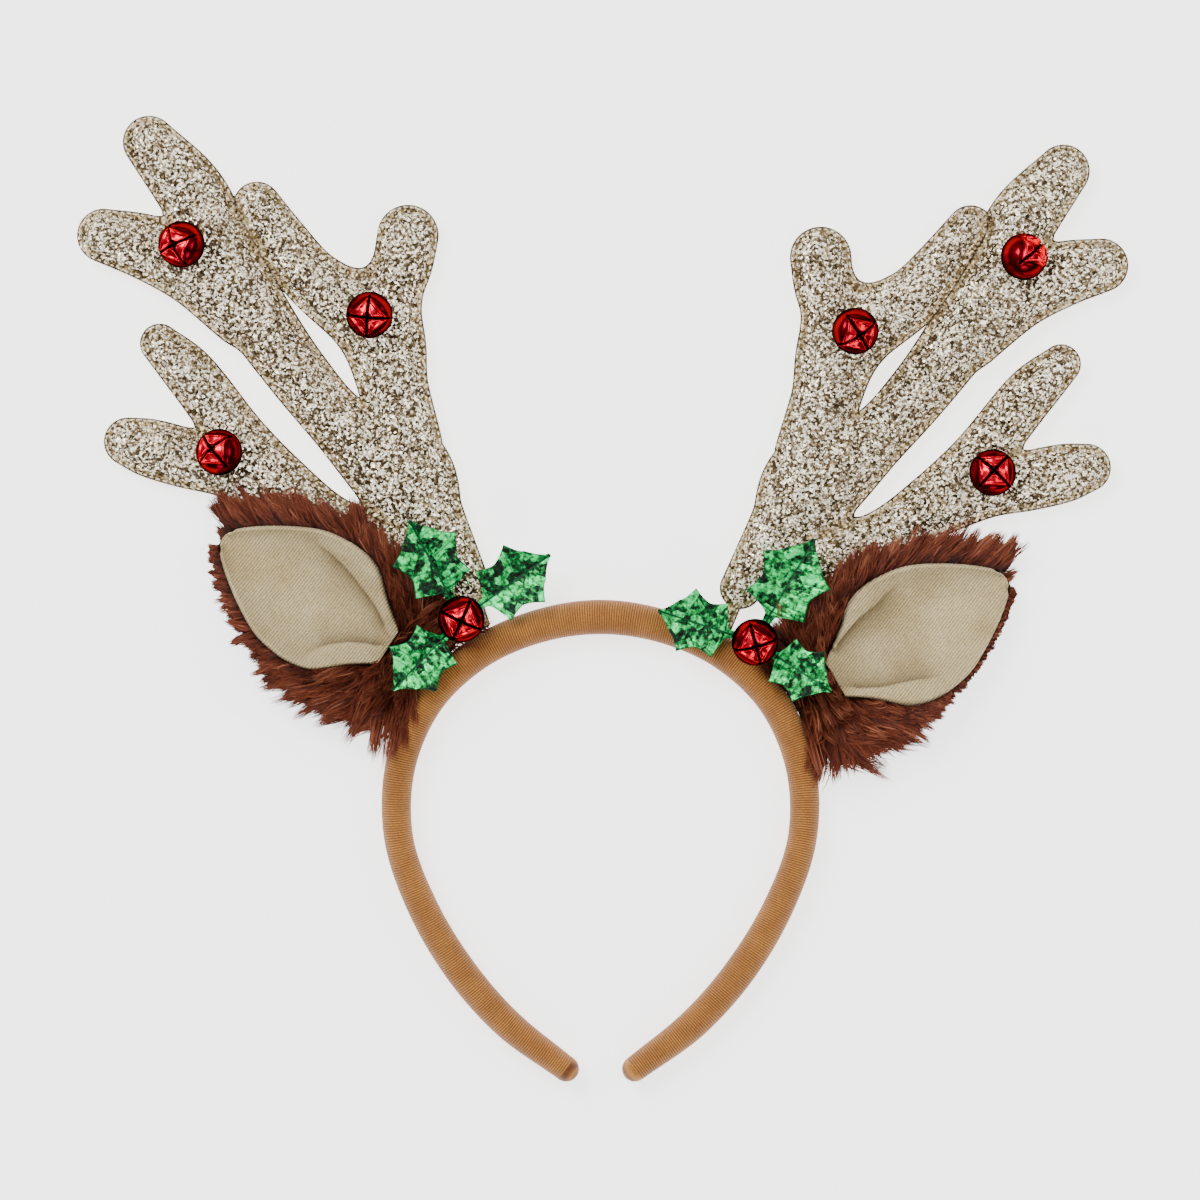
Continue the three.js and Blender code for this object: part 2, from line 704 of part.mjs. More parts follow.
// One side, built as a right-hand side. Its group mirrors it when it is the left.
function sideGroup({ name, mirror, antler, ear, sprig, leaves, bells }) {
  const group = new THREE.Group();
  const add = (mesh) => {
    group.add(mesh);
    return mesh;
  };

  const antlerAt = new THREE.Mesh();
  antlerAt.position.copy(besideBand(antler.seat, 0, 0));
  antlerAt.rotation.z = -radians(antler.lean);
  const [plainAntler, antlerKeepOut] = [0, CLEARANCE].map((grow) =>
    placed(geometryOf(antlerSolid(grow, antler)), antlerAt),
  );
  const sewn = without(plainAntler, [bandKeepOut]);
  const antlerMesh = add(pieceOf(`antler_${name}`, geometryOf(largest(sewn)), FINISHES.glitter));

  bells.forEach((row, k) => {
    const out = row.out * ANTLER_REACH * (1 - antler.tuck * row.up);
    const at = new THREE.Vector3(out, row.up * ANTLER_RISE, 0).applyMatrix4(antlerAt.matrix);
    at.z = restingHeight(antlerMesh, at.x, at.y, BELL_DIAMETER / 2 + CLEARANCE);
    const mesh = add(pieceOf(`antler_bell_${name}_${k + 1}`, bell, FINISHES.bell));
    mesh.position.copy(at);
    faceTo(mesh, row);
  });

  const heart = besideBand(sprig.seat, sprig.off, BAND_DEPTH + SPRIG_RISE + LEAF_THICKNESS / 2);
  const leafKeepOuts = leaves.map((row, k) => {
    const mesh = add(pieceOf(`holly_leaf_${name}_${k + 1}`, leafGeometry(row.size), FINISHES.leaf));
    mesh.position.copy(heart);
    mesh.rotation.set(0, -radians(row.climb), radians(row.heading), "ZYX");
    return placed(leafGeometry(row.size, CLEARANCE), mesh);
  });

  const hollyBell = add(pieceOf(`holly_bell_${name}`, bell, FINISHES.bell));
  hollyBell.position.copy(heart).setZ(heart.z + (LEAF_THICKNESS + BELL_DIAMETER) / 2);
  faceTo(hollyBell, sprig.bell);
  const bellKeepOut = placed(ballKeepOut(BELL_DIAMETER / 2 + CLEARANCE), hollyBell);

  const glueAt = new THREE.Mesh();
  glueAt.position.copy(heart).setZ((ANTLER_THICKNESS + SEAM_THICKNESS) / 2 + CLEARANCE);
  const glueHeight = hollyBell.position.z - BELL_DIAMETER / 3 - glueAt.position.z;
  const glueCutters = [bandKeepOut, antlerKeepOut, bellKeepOut, ...leafKeepOuts];
  const [plainGlue, glueKeepOut] = [0, CLEARANCE].map((grow) =>
    placed(glueGeometry(glueHeight, grow), glueAt),
  );
  const glue = without(plainGlue, glueCutters);
  add(pieceOf(`glue_${name}`, geometryOf(largest(glue)), FINISHES.glue));

  const earAt = new THREE.Mesh();
  earAt.position.copy(besideBand(ear.seat, 0, 0));
  earAt.rotation.z = Math.PI / 2 - radians(ear.lean);
  const inEarFrame = (geometry) => placed(geometry, earAt);
  const keepOuts = [bandKeepOut, antlerKeepOut, glueKeepOut, bellKeepOut, ...leafKeepOuts];
  const liningStart = LINING_SETBACK / EAR_LENGTH;
  const lining = without(inEarFrame(cupGeometry(0, LINING_WALL, liningStart, true)), keepOuts);
  add(pieceOf(`ear_lining_${name}`, geometryOf(largest(lining)), FINISHES.lining));

  const backing = cupGeometry(LINING_WALL + CLEARANCE, KEEL_HEIGHT, 0, false);
  const fur = joined([backing, ...furLocks(ear.thinning)].map(inEarFrame));
  const liningKeepOut = inEarFrame(hollowGeometry(LINING_WALL + CLEARANCE));
  const table = solid(
    new THREE.BoxGeometry(4 * EAR_LENGTH, 4 * EAR_LENGTH, EAR_LENGTH).translate(
      earAt.position.x,
      earAt.position.y,
      -EAR_LENGTH / 2,
    ),
  );
  const trimmed = without(fur, [...keepOuts, liningKeepOut, table]);
  add(pieceOf(`ear_fur_${name}`, geometryOf(largest(trimmed)), FINISHES.fur));

  group.scale.x = mirror;
  return group;
}

const headband = new THREE.Group();
headband.add(pieceOf("headband", bandGeometry(), FINISHES.band));
SIDES.forEach((side) => headband.add(sideGroup(side)));

export default headband;
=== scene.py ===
# The looks of a reindeer antler headband that lies on its back on a pale table.
#
# Sizes are in millimetres until a mesh is made. The frame is the CAD model's: the origin is the
# middle of the band's crown, +X is to the right, +Y runs to the antlers' tops, +Z faces the camera.

import math

import bpy
import numpy as np
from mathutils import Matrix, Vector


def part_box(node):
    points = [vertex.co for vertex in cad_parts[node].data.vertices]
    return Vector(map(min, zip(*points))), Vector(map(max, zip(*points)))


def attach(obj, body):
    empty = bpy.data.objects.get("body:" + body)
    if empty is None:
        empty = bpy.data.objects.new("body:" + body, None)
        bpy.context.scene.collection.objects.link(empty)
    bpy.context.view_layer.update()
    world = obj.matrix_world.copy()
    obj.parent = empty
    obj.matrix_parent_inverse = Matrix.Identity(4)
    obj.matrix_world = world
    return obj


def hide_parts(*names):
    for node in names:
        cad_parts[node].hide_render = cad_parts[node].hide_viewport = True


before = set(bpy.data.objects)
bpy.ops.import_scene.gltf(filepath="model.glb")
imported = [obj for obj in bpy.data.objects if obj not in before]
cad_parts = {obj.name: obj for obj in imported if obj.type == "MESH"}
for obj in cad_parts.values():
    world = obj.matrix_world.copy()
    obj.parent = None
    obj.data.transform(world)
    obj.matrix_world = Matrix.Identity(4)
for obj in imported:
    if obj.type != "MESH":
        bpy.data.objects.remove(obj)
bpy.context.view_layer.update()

MM = 0.001

# Headband
BAND_SPAN = 122.4
BAND_RISE = 135.5
BAND_THICKNESS = 10.5
BAND_DEPTH = 12
RIB_PITCH = 0.72
RIB_HEIGHT = 0.11
RIB_SLANT = 0.5
RINGS_PER_RIB = 5
BAND_POINTS = 24
END_RINGS = 8

# Antlers
ANTLER_REACH = 122.5
ANTLER_RISE = 155
ANTLER_THICKNESS = 9
BEAM_WIDTH = 21
SEAM_THICKNESS = 1.2
RIM_WIDTH = 2.5
TAB_SHOWN = 4.5
TAB_UNDER = 4
ANTLER_CELL = 0.6
GRID_LEFT = 14
GRID_BELOW = 6
GRID_BEYOND = 8
LIMB_MARGIN = 12
FAR_OUT = -50
FOOT_BLEND = 4
RISE_BLEND = 0.8
LEVEL_BLEND = 1.5
SPLIT_START = 72
SPLIT_END = 82
FOLD = ((34.9, 66.9), (16.2, 72.0))
FOLD_WIDTH = 0.6
FOLD_DEPTH = 0.6
GROOVE_WIDTH = 0.45
GROOVE_DEPTH = 0.22
RIM_BEVEL = 0.25
STITCH_PITCH = 2.1
STITCH_LENGTH = 1.2
STITCH_WIDTH = 0.55
STITCH_INSET = 0.75
SHORTEST_SEAM = 12
# Ears
EAR_LENGTH = 74
EAR_WIDTH = 38
EAR_CUP = 10
LINING_WALL = 1.5
BACKING_WALL = 2.5
LINING_SETBACK = 13
TIP_START = 0.94
TIP_ROUNDING = 1.3
FOLD_FADE = 9
LIP_HEIGHT = 2.4
LIP_STEP = 1.6
LIP_FALL = 14
CREASE_DEPTH = 0.5
CREASE_WIDTH = 0.8
FUR_LENGTH = 13
FUR_SAG = 0.16
UPPER_BUSH = 1.08
TIP_THINNING = 0.3
LOWER_BUSH = 1.25
LEAST_FUR = 0.12
STRANDS = 27000
STRAND_WIDTH = 0.5
TUFTS = 900
TUFT_PULL = 0.7
SKIN_REACH = 0.93

# Holly
LEAF_LENGTH = 29
LEAF_WIDTH = 18.5
LEAF_THICKNESS = 0.9
LEAF_FOLD = 2
LEAF_HOLLOW = 1.5
STALK_START = 4
VEIN_WIDTH = 0.32
VEIN_DEPTH = 0.25
MIDRIB_WIDTH = 0.42
PILLOW_HEIGHT = 0.35
PILLOW_PITCH = 26
SPRIG_RISE = 0.8
GLUE_CELL = 0.45

# Jingle bells
BELL_DIAMETER = 14
BELL_SQUARE = 0.65
CORNER_REACH = 0.95
FACE_HEIGHT = 0.9
TURNED_IN = 0.33
SLOT_WIDTH = 0.35
SLOT_DEPTH = 2
HOLE_WIDTH = 1.1
BODY_SHADE = 0.8

CLEARANCE = 0.3
KEEL_HEIGHT = BACKING_WALL + CLEARANCE + LINING_WALL

# The camera looks straight down, and the picture's middle lies on this point of the part.
CAMERA_X = -0.15
CAMERA_Y = 5.1
CAMERA_HEIGHT = 2006
LENS = 200
SENSOR = 36

# The floor, in metres.
FLOOR_HALF = 1.6
FLOOR_DROP = 0.0006
FLOOR_GLOW = 2.2

# Half of the band's middle line, from the crown to a tip: shares of half the span, of the rise
# and of the crown's thickness.
BAND_ROWS = [
    # across, down, thick
    (0.0, 0.0, 1.0),
    (0.309, 0.021, 0.97),
    (0.603, 0.081, 0.95),
    (0.845, 0.186, 0.92),
    (0.98, 0.329, 0.88),
    (0.99, 0.487, 0.85),
    (0.876, 0.638, 0.89),
    (0.688, 0.781, 0.92),
    (0.459, 0.899, 0.89),
    (0.169, 1.0, 0.75),
]

# An antler's limbs from root to tip: shares of its reach and rise, of half the beam's width, and
# of its thickness.
LIMBS = {
    # out, up, half, lift
    "beam": [
        (0.0375, 0.0895, 0.6, 0),
        (0.0865, 0.155, 0.8, 0),
        (0.1355, 0.227, 0.98, 0),
        (0.206, 0.31, 1.42, 0),
        (0.344, 0.394, 0.93, 0),
        (0.454, 0.494, 0.9, 0.025),
        (0.581, 0.64, 1.0, 0.05),
        (0.652, 0.753, 0.95, 0.05),
        (0.718, 0.848, 0.99, 0.04),
        (0.821, 0.945, 0.755, 0),
    ],
    "beam_tine": [
        (0.598, 0.61, 0.88, 0.05),
        (0.716, 0.7, 1.03, 0.04),
        (0.827, 0.741, 0.94, 0.02),
        (0.932, 0.764, 0.77, 0),
    ],
    "inner_branch": [
        (0.19, 0.358, 1.03, 0),
        (0.228, 0.498, 0.985, 0),
        (0.229, 0.59, 0.84, 0),
        (0.216, 0.657, 0.79, 0),
        (0.199, 0.712, 0.86, 0),
        (0.187, 0.764, 0.88, 0),
    ],
    "inner_tine": [
        (0.246, 0.551, 0.9, 0),
        (0.316, 0.615, 1.0, 0),
        (0.426, 0.684, 0.86, -0.03),
        (0.496, 0.754, 0.77, -0.05),
        (0.557, 0.822, 0.69, -0.05),
    ],
    "lower_branch": [
        (0.148, 0.13, 0.68, 0),
        (0.27, 0.167, 0.77, 0),
        (0.388, 0.214, 0.8, 0),
        (0.496, 0.285, 0.83, 0),
        (0.594, 0.367, 0.8, 0.04),
        (0.722, 0.498, 0.75, 0.04),
        (0.795, 0.555, 0.57, 0),
    ],
    "lower_tine": [
        (0.515, 0.266, 0.74, 0),
        (0.638, 0.312, 0.8, 0),
        (0.736, 0.334, 0.86, 0),
        (0.817, 0.352, 0.84, 0),
        (0.873, 0.365, 0.69, 0),
    ],
}

# The limbs that grow out of each other, from the front, with the width of the blend in a crotch.
LIMB_GROUPS = [
    (("beam", "beam_tine"), 3),
    (("lower_branch", "lower_tine"), 3),
    (("inner_branch", "inner_tine"), 9),
]

# An ear from foot to tip: shares of its length, of half its width, of that half, and of the cup's
# depth for the cup and for the keel's height.
EAR_ROWS = [
    # along, half, lined, cup, keel
    (0.0, 0.74, 0.2, 0.45, 0.1),
    (0.14, 0.86, 0.24, 0.62, 0.04),
    (0.28, 0.96, 0.5, 0.82, 0),
    (0.41, 1.0, 0.88, 0.97, 0),
    (0.54, 1.0, 1, 1.0, 0),
    (0.67, 0.92, 1, 0.9, 0.05),
    (0.8, 0.67, 1, 0.68, 0.14),
    (0.91, 0.38, 1, 0.42, 0.26),
    (1.0, 0.08, 1, 0.1, 0.4),
]

# Waves and crumples that are added up, with seeds counted from that of the piece.
ANTLER_WAVES = [
    # cell, height, seed
    (9, 0.35, 0),
    (3.5, 0.16, 10),
]
LINING_WAVES = [(14, 0.35, 0), (5, 0.12, 1)]
LEAF_WAVES = [(3.2, 0.3, 0), (1.3, 0.14, 1)]
LINING_SEED = 21

# A stitch, seen as a lens: shares of its length and width, and its height. The last row is its top.
STITCH_ROWS = [
    # ahead, aside, up
    (-0.5, 0.0, 0.0),
    (-0.25, 0.4, 0.05),
    (0.25, 0.4, 0.05),
    (0.5, 0.0, 0.0),
    (0.25, -0.4, 0.05),
    (-0.25, -0.4, 0.05),
    (0.0, 0.0, 0.3),
]

# Half of a holly leaf's outline from stalk to tip. Its spikes are the rows that are turning out.
LEAF_ROWS = [
    # rib, edge, half
    (0.0, 0.0, 0.1),
    (0.16, 0.16, 0.14),
    (0.24, 0.27, 0.86),
    (0.4, 0.45, 0.7),
    (0.56, 0.66, 1.0),
    (0.76, 0.79, 0.52),
    (0.98, 0.98, 0.05),
]

# Both sides are drawn as the right one, and the left one is mirrored. Angles are in degrees. A leaf
# is a heading, a climb and a size. A bell is out, up, and its face's heading, tilt and spin.
SIDES = [
    {
        "name": "left",
        "mirror": -1,
        "seeds": {"antler": 4, "fur": 12, "leaf": 40},
        "antler": {"seat": 0.178, "lean": 0, "tuck": 0, "growth": {}},
        "ear": {
            "seat": 0.281,
            "lean": 56.5,
            "thinning": 0.95,
            # along and across the ear
            "folds": [
                [(50, 13.9), (43, 14.1), (35, 12.4), (25, 8.5), (19, 4.9)],
                [(34, -16.8), (33, -13.5), (31, -10.4), (24, -4.4), (17, -1)],
            ],
        },
        "sprig": {"seat": 0.196, "off": 6.2, "bell": (270, 8, 25)},
        "leaves": [(62, 7, 1.18), (144, 5, 1.15), (-46, 12, 1.06)],
        "bells": [
            (0.736, 0.743, -10, 24, 66),
            (0.278, 0.607, -60, 12, 5),
            (0.645, 0.343, 25, 24, 50),
        ],
    },
    {
        "name": "right",
        "mirror": 1,
        "seeds": {"antler": 3, "fur": 11, "leaf": 41},
        "antler": {
            "seat": 0.187,
            "lean": 4.2,
            "tuck": 0.1,
            # stretch and lean
            "growth": {
                "beam": (1, 0.4),
                "inner_branch": (0.94, 0),
                "inner_tine": (1.02, 3),
                "lower_branch": (1.04, 0.5),
                "lower_tine": (1.06, 0),
            },
        },
        "ear": {
            "seat": 0.334,
            "lean": 59.4,
            "thinning": 1.85,
            "folds": [
                [(45, 15.2), (38, 14), (29, 12.6), (20, 9)],
                [(44, -15.5), (38, -13.7), (32, -11.4), (25, -9), (18, -5)],
            ],
        },
        "sprig": {"seat": 0.231, "off": 3.3, "bell": (280, 14, 15)},
        "leaves": [(162, 5, 1.07), (60, 8, 1.26), (-33, 12, 0.97)],
        "bells": [
            (0.72, 0.766, 30, 44, 40),
            (0.285, 0.599, -50, 20, 33),
            (0.65, 0.347, 80, 6, 47),
        ],
    },
]

# Numbers


def spline(rows, t, power=0.25):
    """Points at shares t of a Catmull-Rom line through rows of numbers, centripetal by default."""
    rows = np.asarray(rows, float)
    ends = np.vstack([2 * rows[0] - rows[1], rows, 2 * rows[-1] - rows[-2]])
    place = np.clip(np.asarray(t, float), 0, 1) * (len(rows) - 1)
    first = np.minimum(place.astype(int), len(rows) - 2)
    a, b, c, d = (ends[first + i] for i in range(4))
    gaps = [((q - p) ** 2).sum(1)[:, None] ** power for p, q in ((a, b), (b, c), (c, d))]
    middle = np.where(gaps[1] < 1e-4, 1, gaps[1])
    before = np.where(gaps[0] < 1e-4, middle, gaps[0])
    after = np.where(gaps[2] < 1e-4, middle, gaps[2])
    leave = ((b - a) / before - (c - a) / (before + middle) + (c - b) / middle) * middle
    arrive = ((c - b) / middle - (d - b) / (middle + after) + (d - c) / after) * middle
    w = (place - first)[:, None]
    square = -3 * b + 3 * c - 2 * leave - arrive
    cube = 2 * b - 2 * c + leave + arrive
    return b + leave * w + square * w**2 + cube * w**3


def unit(vectors):
    """Vectors brought to a length of 1."""
    return vectors / np.maximum(np.linalg.norm(vectors, axis=-1, keepdims=True), 1e-6)


def heading_of(rows, t):
    """The direction of a spline at shares t of it."""
    step = 1e-4
    return unit(spline(rows, np.minimum(t + step, 1)) - spline(rows, np.maximum(t - step, 0)))


def run_along(points):
    """How far along a line of points each of them lies."""
    return np.concatenate([[0], np.cumsum(np.linalg.norm(np.diff(points, axis=0), axis=1))])


def soft_step(values):
    """0 below 0, 1 above 1 and smooth between them."""
    share = np.clip(values, 0, 1)
    return share * share * (3 - 2 * share)


def ridge(distance, width):
    """1 at no distance, and smoothly less away from it."""
    return np.exp(-((distance / width) ** 2))


NOISE_CELLS = 48


def noise(points, cell, seed):
    """Smooth noise from -1 to 1 with lumps of about a cell's size."""
    lattice = np.random.default_rng(seed).uniform(-1, 1, (NOISE_CELLS,) * 3)
    place = np.asarray(points, float) / cell
    low = np.floor(place).astype(int)
    share = place - low
    share = share * share * (3 - 2 * share)
    total = np.zeros(len(place))
    for corner in np.ndindex(2, 2, 2):
        weight = np.prod(np.where(corner, share, 1 - share), axis=1)
        total += weight * lattice[tuple(((low + corner) % NOISE_CELLS).T)]
    return total


def waves(points, rows, seed):
    """Noises of several sizes added up."""
    return sum(height * noise(points, cell, seed + step) for cell, height, step in rows)


def axis_turn(degrees, first, second):
    """A turn that takes one axis towards another."""
    angle = math.radians(degrees)
    made = np.eye(3)
    made[first, first] = made[second, second] = math.cos(angle)
    made[second, first] = math.sin(angle)
    made[first, second] = -math.sin(angle)
    return made


def turn_z(degrees):
    return axis_turn(degrees, 0, 1)


def turn_y(degrees):
    return axis_turn(degrees, 2, 0)


def face_to(heading, tilt, spin):
    """The turn of a bell whose face looks to a heading, tilted away from straight up."""
    return turn_z(heading) @ turn_y(tilt) @ turn_z(spin - heading)


# Meshes


def grid_faces(rows, columns, closed=False):
    """Quads between neighbouring rows of points. Closed joins the last column to the first."""
    spans = columns if closed else columns - 1
    r, c = np.meshgrid(np.arange(rows - 1), np.arange(spans), indexing="ij")
    a = r * columns + c
    b = r * columns + (c + 1) % columns
    return np.stack([a, b, b + columns, a + columns], -1).reshape(-1, 4)


def fan(ring, pole):
    """Triangles from a ring of points to one point."""
    return np.stack([ring, np.roll(ring, -1), np.full(len(ring), pole)], -1)


def tube_faces(rows, columns):
    """Faces over closed rings of points, with a pole for each end after them."""
    count = rows * columns
    return [
        grid_faces(rows, columns, closed=True)[:, ::-1],
        fan(np.arange(columns), count),
        fan(np.arange(count - columns, count)[::-1], count + 1),
    ]


def sheet_faces(rows, columns):
    """Faces of a closed sheet: its front, its back after the front's points, and the wall."""
    count = rows * columns
    number = np.arange(count).reshape(rows, columns)
    rim = np.concatenate([number[0], number[1:, -1], number[-1, -2::-1], number[-2:0:-1, 0]])
    following = np.roll(rim, -1)
    wall = np.stack([rim + count, following + count, following, rim], 1)
    return [grid_faces(rows, columns), grid_faces(rows, columns)[:, ::-1] + count, wall]


def add_object(name, data):
    made = bpy.data.objects.new(name, data)
    bpy.context.collection.objects.link(made)
    return made


def make_piece(name, node, points, faces, materials, mirror=1, marks=None, which=None):
    """A smooth mesh in millimetres in place of a CAD node. Faces are arrays of one face size each,
    marks are numbers kept at its points, and which gives the material of each array's faces."""
    scaled = np.asarray(points, float) * (mirror * MM, MM, MM)
    order = slice(None, None, mirror)
    every = [face for group in faces for face in group[:, order].tolist()]
    mesh = bpy.data.meshes.new(name)
    mesh.from_pydata(scaled, [], every)
    mesh.polygons.foreach_set("use_smooth", np.ones(len(every), bool))
    for material in materials:
        mesh.materials.append(material)
    if which:
        index = np.concatenate([np.full(len(group), i) for group, i in zip(faces, which)])
        mesh.polygons.foreach_set("material_index", index)
    for key, values in (marks or {}).items():
        layer = mesh.attributes.new(key, "FLOAT", "POINT")
        layer.data.foreach_set("value", np.asarray(values, np.float32))
    mesh.update()
    made = add_object(name, mesh)
    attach(made, "root")
    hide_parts(node)
    return made


# Materials

WHITE = (255, 255, 255)


def linear(*color):
    """A colour given as 0 to 255 on a screen, by the screen's own curve, as the shader wants it."""
    return (*(((v / 255 + 0.055) / 1.055) ** 2.4 if v > 10 else v / 3295 for v in color), 1)


class Paint:
    """A material and short ways to add nodes to it."""

    def __init__(self, name, **values):
        self.made = bpy.data.materials.new(name)
        self.made.use_nodes = True
        self.tree = self.made.node_tree
        self.shader = self.tree.nodes["Principled BSDF"]
        for key, value in values.items():
            self.shader.inputs[key.replace("_", " ")].default_value = value
        coordinates = self.tree.nodes.new("ShaderNodeTexCoord")
        self.place = self.vector("SCALE", coordinates.outputs["Object"], scale=1 / MM)

    def node(self, kind, inputs=None, **settings):
        made = self.tree.nodes.new(kind)
        for key, value in settings.items():
            setattr(made, key, value)
        for key, value in (inputs or {}).items():
            self.feed(made.inputs[key], value)
        return made

    def feed(self, socket, value):
        if isinstance(value, bpy.types.NodeSocket):
            self.tree.links.new(value, socket)
        else:
            socket.default_value = value

    def set(self, key, value):
        self.feed(self.shader.inputs[key], value)

    def math(self, operation, first, second=0.0, third=0.0):
        inputs = {0: first, 1: second, 2: third}
        return self.node("ShaderNodeMath", inputs, operation=operation).outputs[0]

    def vector(self, operation, first, second=(0, 0, 0), scale=1.0):
        inputs = {0: first, 1: second, 3: scale}
        return self.node("ShaderNodeVectorMath", inputs, operation=operation).outputs[0]

    def mark(self, name):
        return self.node("ShaderNodeAttribute", attribute_name=name).outputs["Fac"]

    def noise(self, size, detail=2.0, rough=0.5):
        inputs = {"Vector": self.place, "Scale": 1 / size, "Detail": detail, "Roughness": rough}
        return self.node("ShaderNodeTexNoise", inputs).outputs["Fac"]

    def cells(self, size):
        """A colour drawn at random for each cell of a pattern."""
        inputs = {"Vector": self.place, "Scale": 1 / size}
        return self.node("ShaderNodeTexVoronoi", inputs).outputs["Color"]

    def red(self, color):
        return self.node("ShaderNodeSeparateColor", {"Color": color}).outputs["Red"]

    def ramp(self, factor, stops, smooth=True):
        made = self.node("ShaderNodeValToRGB", {"Fac": factor})
        made.color_ramp.interpolation = "LINEAR" if smooth else "CONSTANT"
        elements = made.color_ramp.elements
        for place, color in stops[2:]:
            elements.new(place)
        for element, (place, color) in zip(elements, stops):
            element.position = place
            element.color = linear(*color)
        return made.outputs["Color"]

    def mottle(self, size, dark, light, low=0.3, detail=2.0):
        """Patches between two colours."""
        return self.ramp(self.noise(size, detail), [(low, dark), (1 - low, light)])

    def band(self, factor, low, high):
        """0 below low, 1 above high, and smooth between them."""
        inputs = {"Value": factor, "From Min": low, "From Max": high}
        made = self.node("ShaderNodeMapRange", inputs, interpolation_type="SMOOTHSTEP")
        return made.outputs["Result"]

    def mix(self, factor, first, second, blend="MIX"):
        made = self.node("ShaderNodeMix", data_type="RGBA", blend_type=blend)
        sockets = [s for s in made.inputs if s.enabled]
        for socket, value in zip(sockets, (factor, first, second)):
            self.feed(socket, value)
        return [s for s in made.outputs if s.enabled][0]

    def times(self, first, second):
        return self.mix(1.0, first, second, "MULTIPLY")

    def bump(self, height, distance, strength=1.0):
        inputs = {"Height": height, "Distance": distance * MM, "Strength": strength}
        normal = self.node("ShaderNodeBump", inputs)
        self.set("Normal", normal.outputs["Normal"])


def band_fabric():
    paint = Paint("tan_ribbed_fabric", Roughness=0.85, Sheen_Weight=0.12, Sheen_Roughness=0.5)
    # The ribs' grooves are painted darker and their crests lighter: painted shade and light on the
    # ribs.
    tones = [(0.0, (116, 62, 12)), (0.55, (178, 116, 42)), (1.0, (212, 150, 68))]
    ribs = paint.ramp(paint.mark("rib"), tones)
    color = paint.times(ribs, paint.mottle(7, (232, 226, 220), WHITE, 0.35))
    paint.set("Base Color", paint.times(color, paint.mottle(0.35, (196, 186, 170), WHITE)))
    paint.bump(paint.noise(0.4, 3), 0.15)
    return paint.made


FLAKE = 0.72
GRAIN = 0.45
FLAKE_SHARE = 0.62
TONE_MIDDLE = 0.52
TONE_SPREAD = 1.9
FLAKE_TILT = 1.1
RIM_START = 3.0
RIM_END = 3.9


GLITTER_TONES = [
    (0.0, (66, 52, 30)),
    (0.18, (108, 90, 62)),
    (0.4, (148, 128, 94)),
    (0.57, (196, 176, 142)),
    (0.75, (255, 246, 224)),
]
RIM_TONES = [
    (0.0, (84, 66, 38)),
    (0.24, (130, 106, 68)),
    (0.5, (170, 144, 100)),
    (0.8, (240, 224, 188)),
]


def glitter_fabric():
    paint = Paint("champagne_glitter", Roughness=0.27, Metallic=0.6)
    flakes = paint.cells(FLAKE)
    flake, grain = (paint.red(color) for color in (flakes, paint.cells(GRAIN)))
    finer = paint.math("MULTIPLY", grain, 1 - FLAKE_SHARE)
    pick = paint.math("MULTIPLY_ADD", flake, FLAKE_SHARE, finer)
    spread = paint.math("MULTIPLY_ADD", paint.math("SUBTRACT", pick, 0.5), TONE_SPREAD, TONE_MIDDLE)
    body, rim = (paint.ramp(spread, tones, smooth=False) for tones in (GLITTER_TONES, RIM_TONES))
    edge = paint.mark("edge")
    ragged = paint.math("MULTIPLY_ADD", paint.noise(5), 1.6, edge)
    ragged = paint.math("MULTIPLY_ADD", flake, 0.8, ragged)
    on_body = paint.band(ragged, RIM_START, RIM_END)
    color = paint.mix(on_body, rim, body)
    # A dark line along the outline and where two limbs meet: painted shade where the padding turns
    # down to the seam and in the gap between limbs.
    color = paint.mix(paint.band(edge, 0.1, 0.5), linear(52, 38, 20), color)
    # Darker along the fold across the inner branch's root: painted shade in its crease.
    color = paint.mix(paint.math("MULTIPLY", paint.mark("fold"), 0.7), color, linear(70, 54, 32))
    paint.set("Base Color", color)
    # The brightest flakes on the body glow: a painted glint.
    sparkle = paint.math("MULTIPLY", paint.band(spread, 0.74, 0.9), on_body)
    paint.set("Emission Color", linear(255, 246, 228))
    paint.set("Emission Strength", paint.math("MULTIPLY", sparkle, 0.9))
    tilt = paint.vector("SUBTRACT", flakes, (0.5, 0.5, 0.5))
    tilt = paint.vector("SCALE", tilt, scale=FLAKE_TILT)
    turned = paint.vector("ADD", paint.node("ShaderNodeNewGeometry").outputs["Normal"], tilt)
    paint.set("Normal", paint.vector("NORMALIZE", turned))
    return paint.made


def thread():
    paint = Paint("seam_thread", Roughness=0.6, Sheen_Weight=0.3)
    paint.set("Base Color", paint.mottle(1.2, (232, 218, 186), (255, 250, 236), 0.35))
    paint.bump(paint.noise(0.3, 2), 0.08)
    return paint.made


def fur_coat():
    paint = Paint("brown_fur", Roughness=0.65, Specular_IOR_Level=0.25)
    tones = [(0.0, (48, 18, 9)), (0.35, (92, 39, 22)), (0.7, (128, 63, 39)), (1.0, (176, 114, 84))]
    tone = paint.ramp(paint.mark("tone"), tones)
    # Darker towards the strands' roots and on the skin under them: painted shade deep in the fur.
    root = paint.ramp(paint.mark("run"), [(0.0, (150, 120, 108)), (0.5, WHITE)])
    paint.set("Base Color", paint.times(tone, root))
    return paint.made


TWILL_TURN = 38
TWILL_SCALE = 0.38


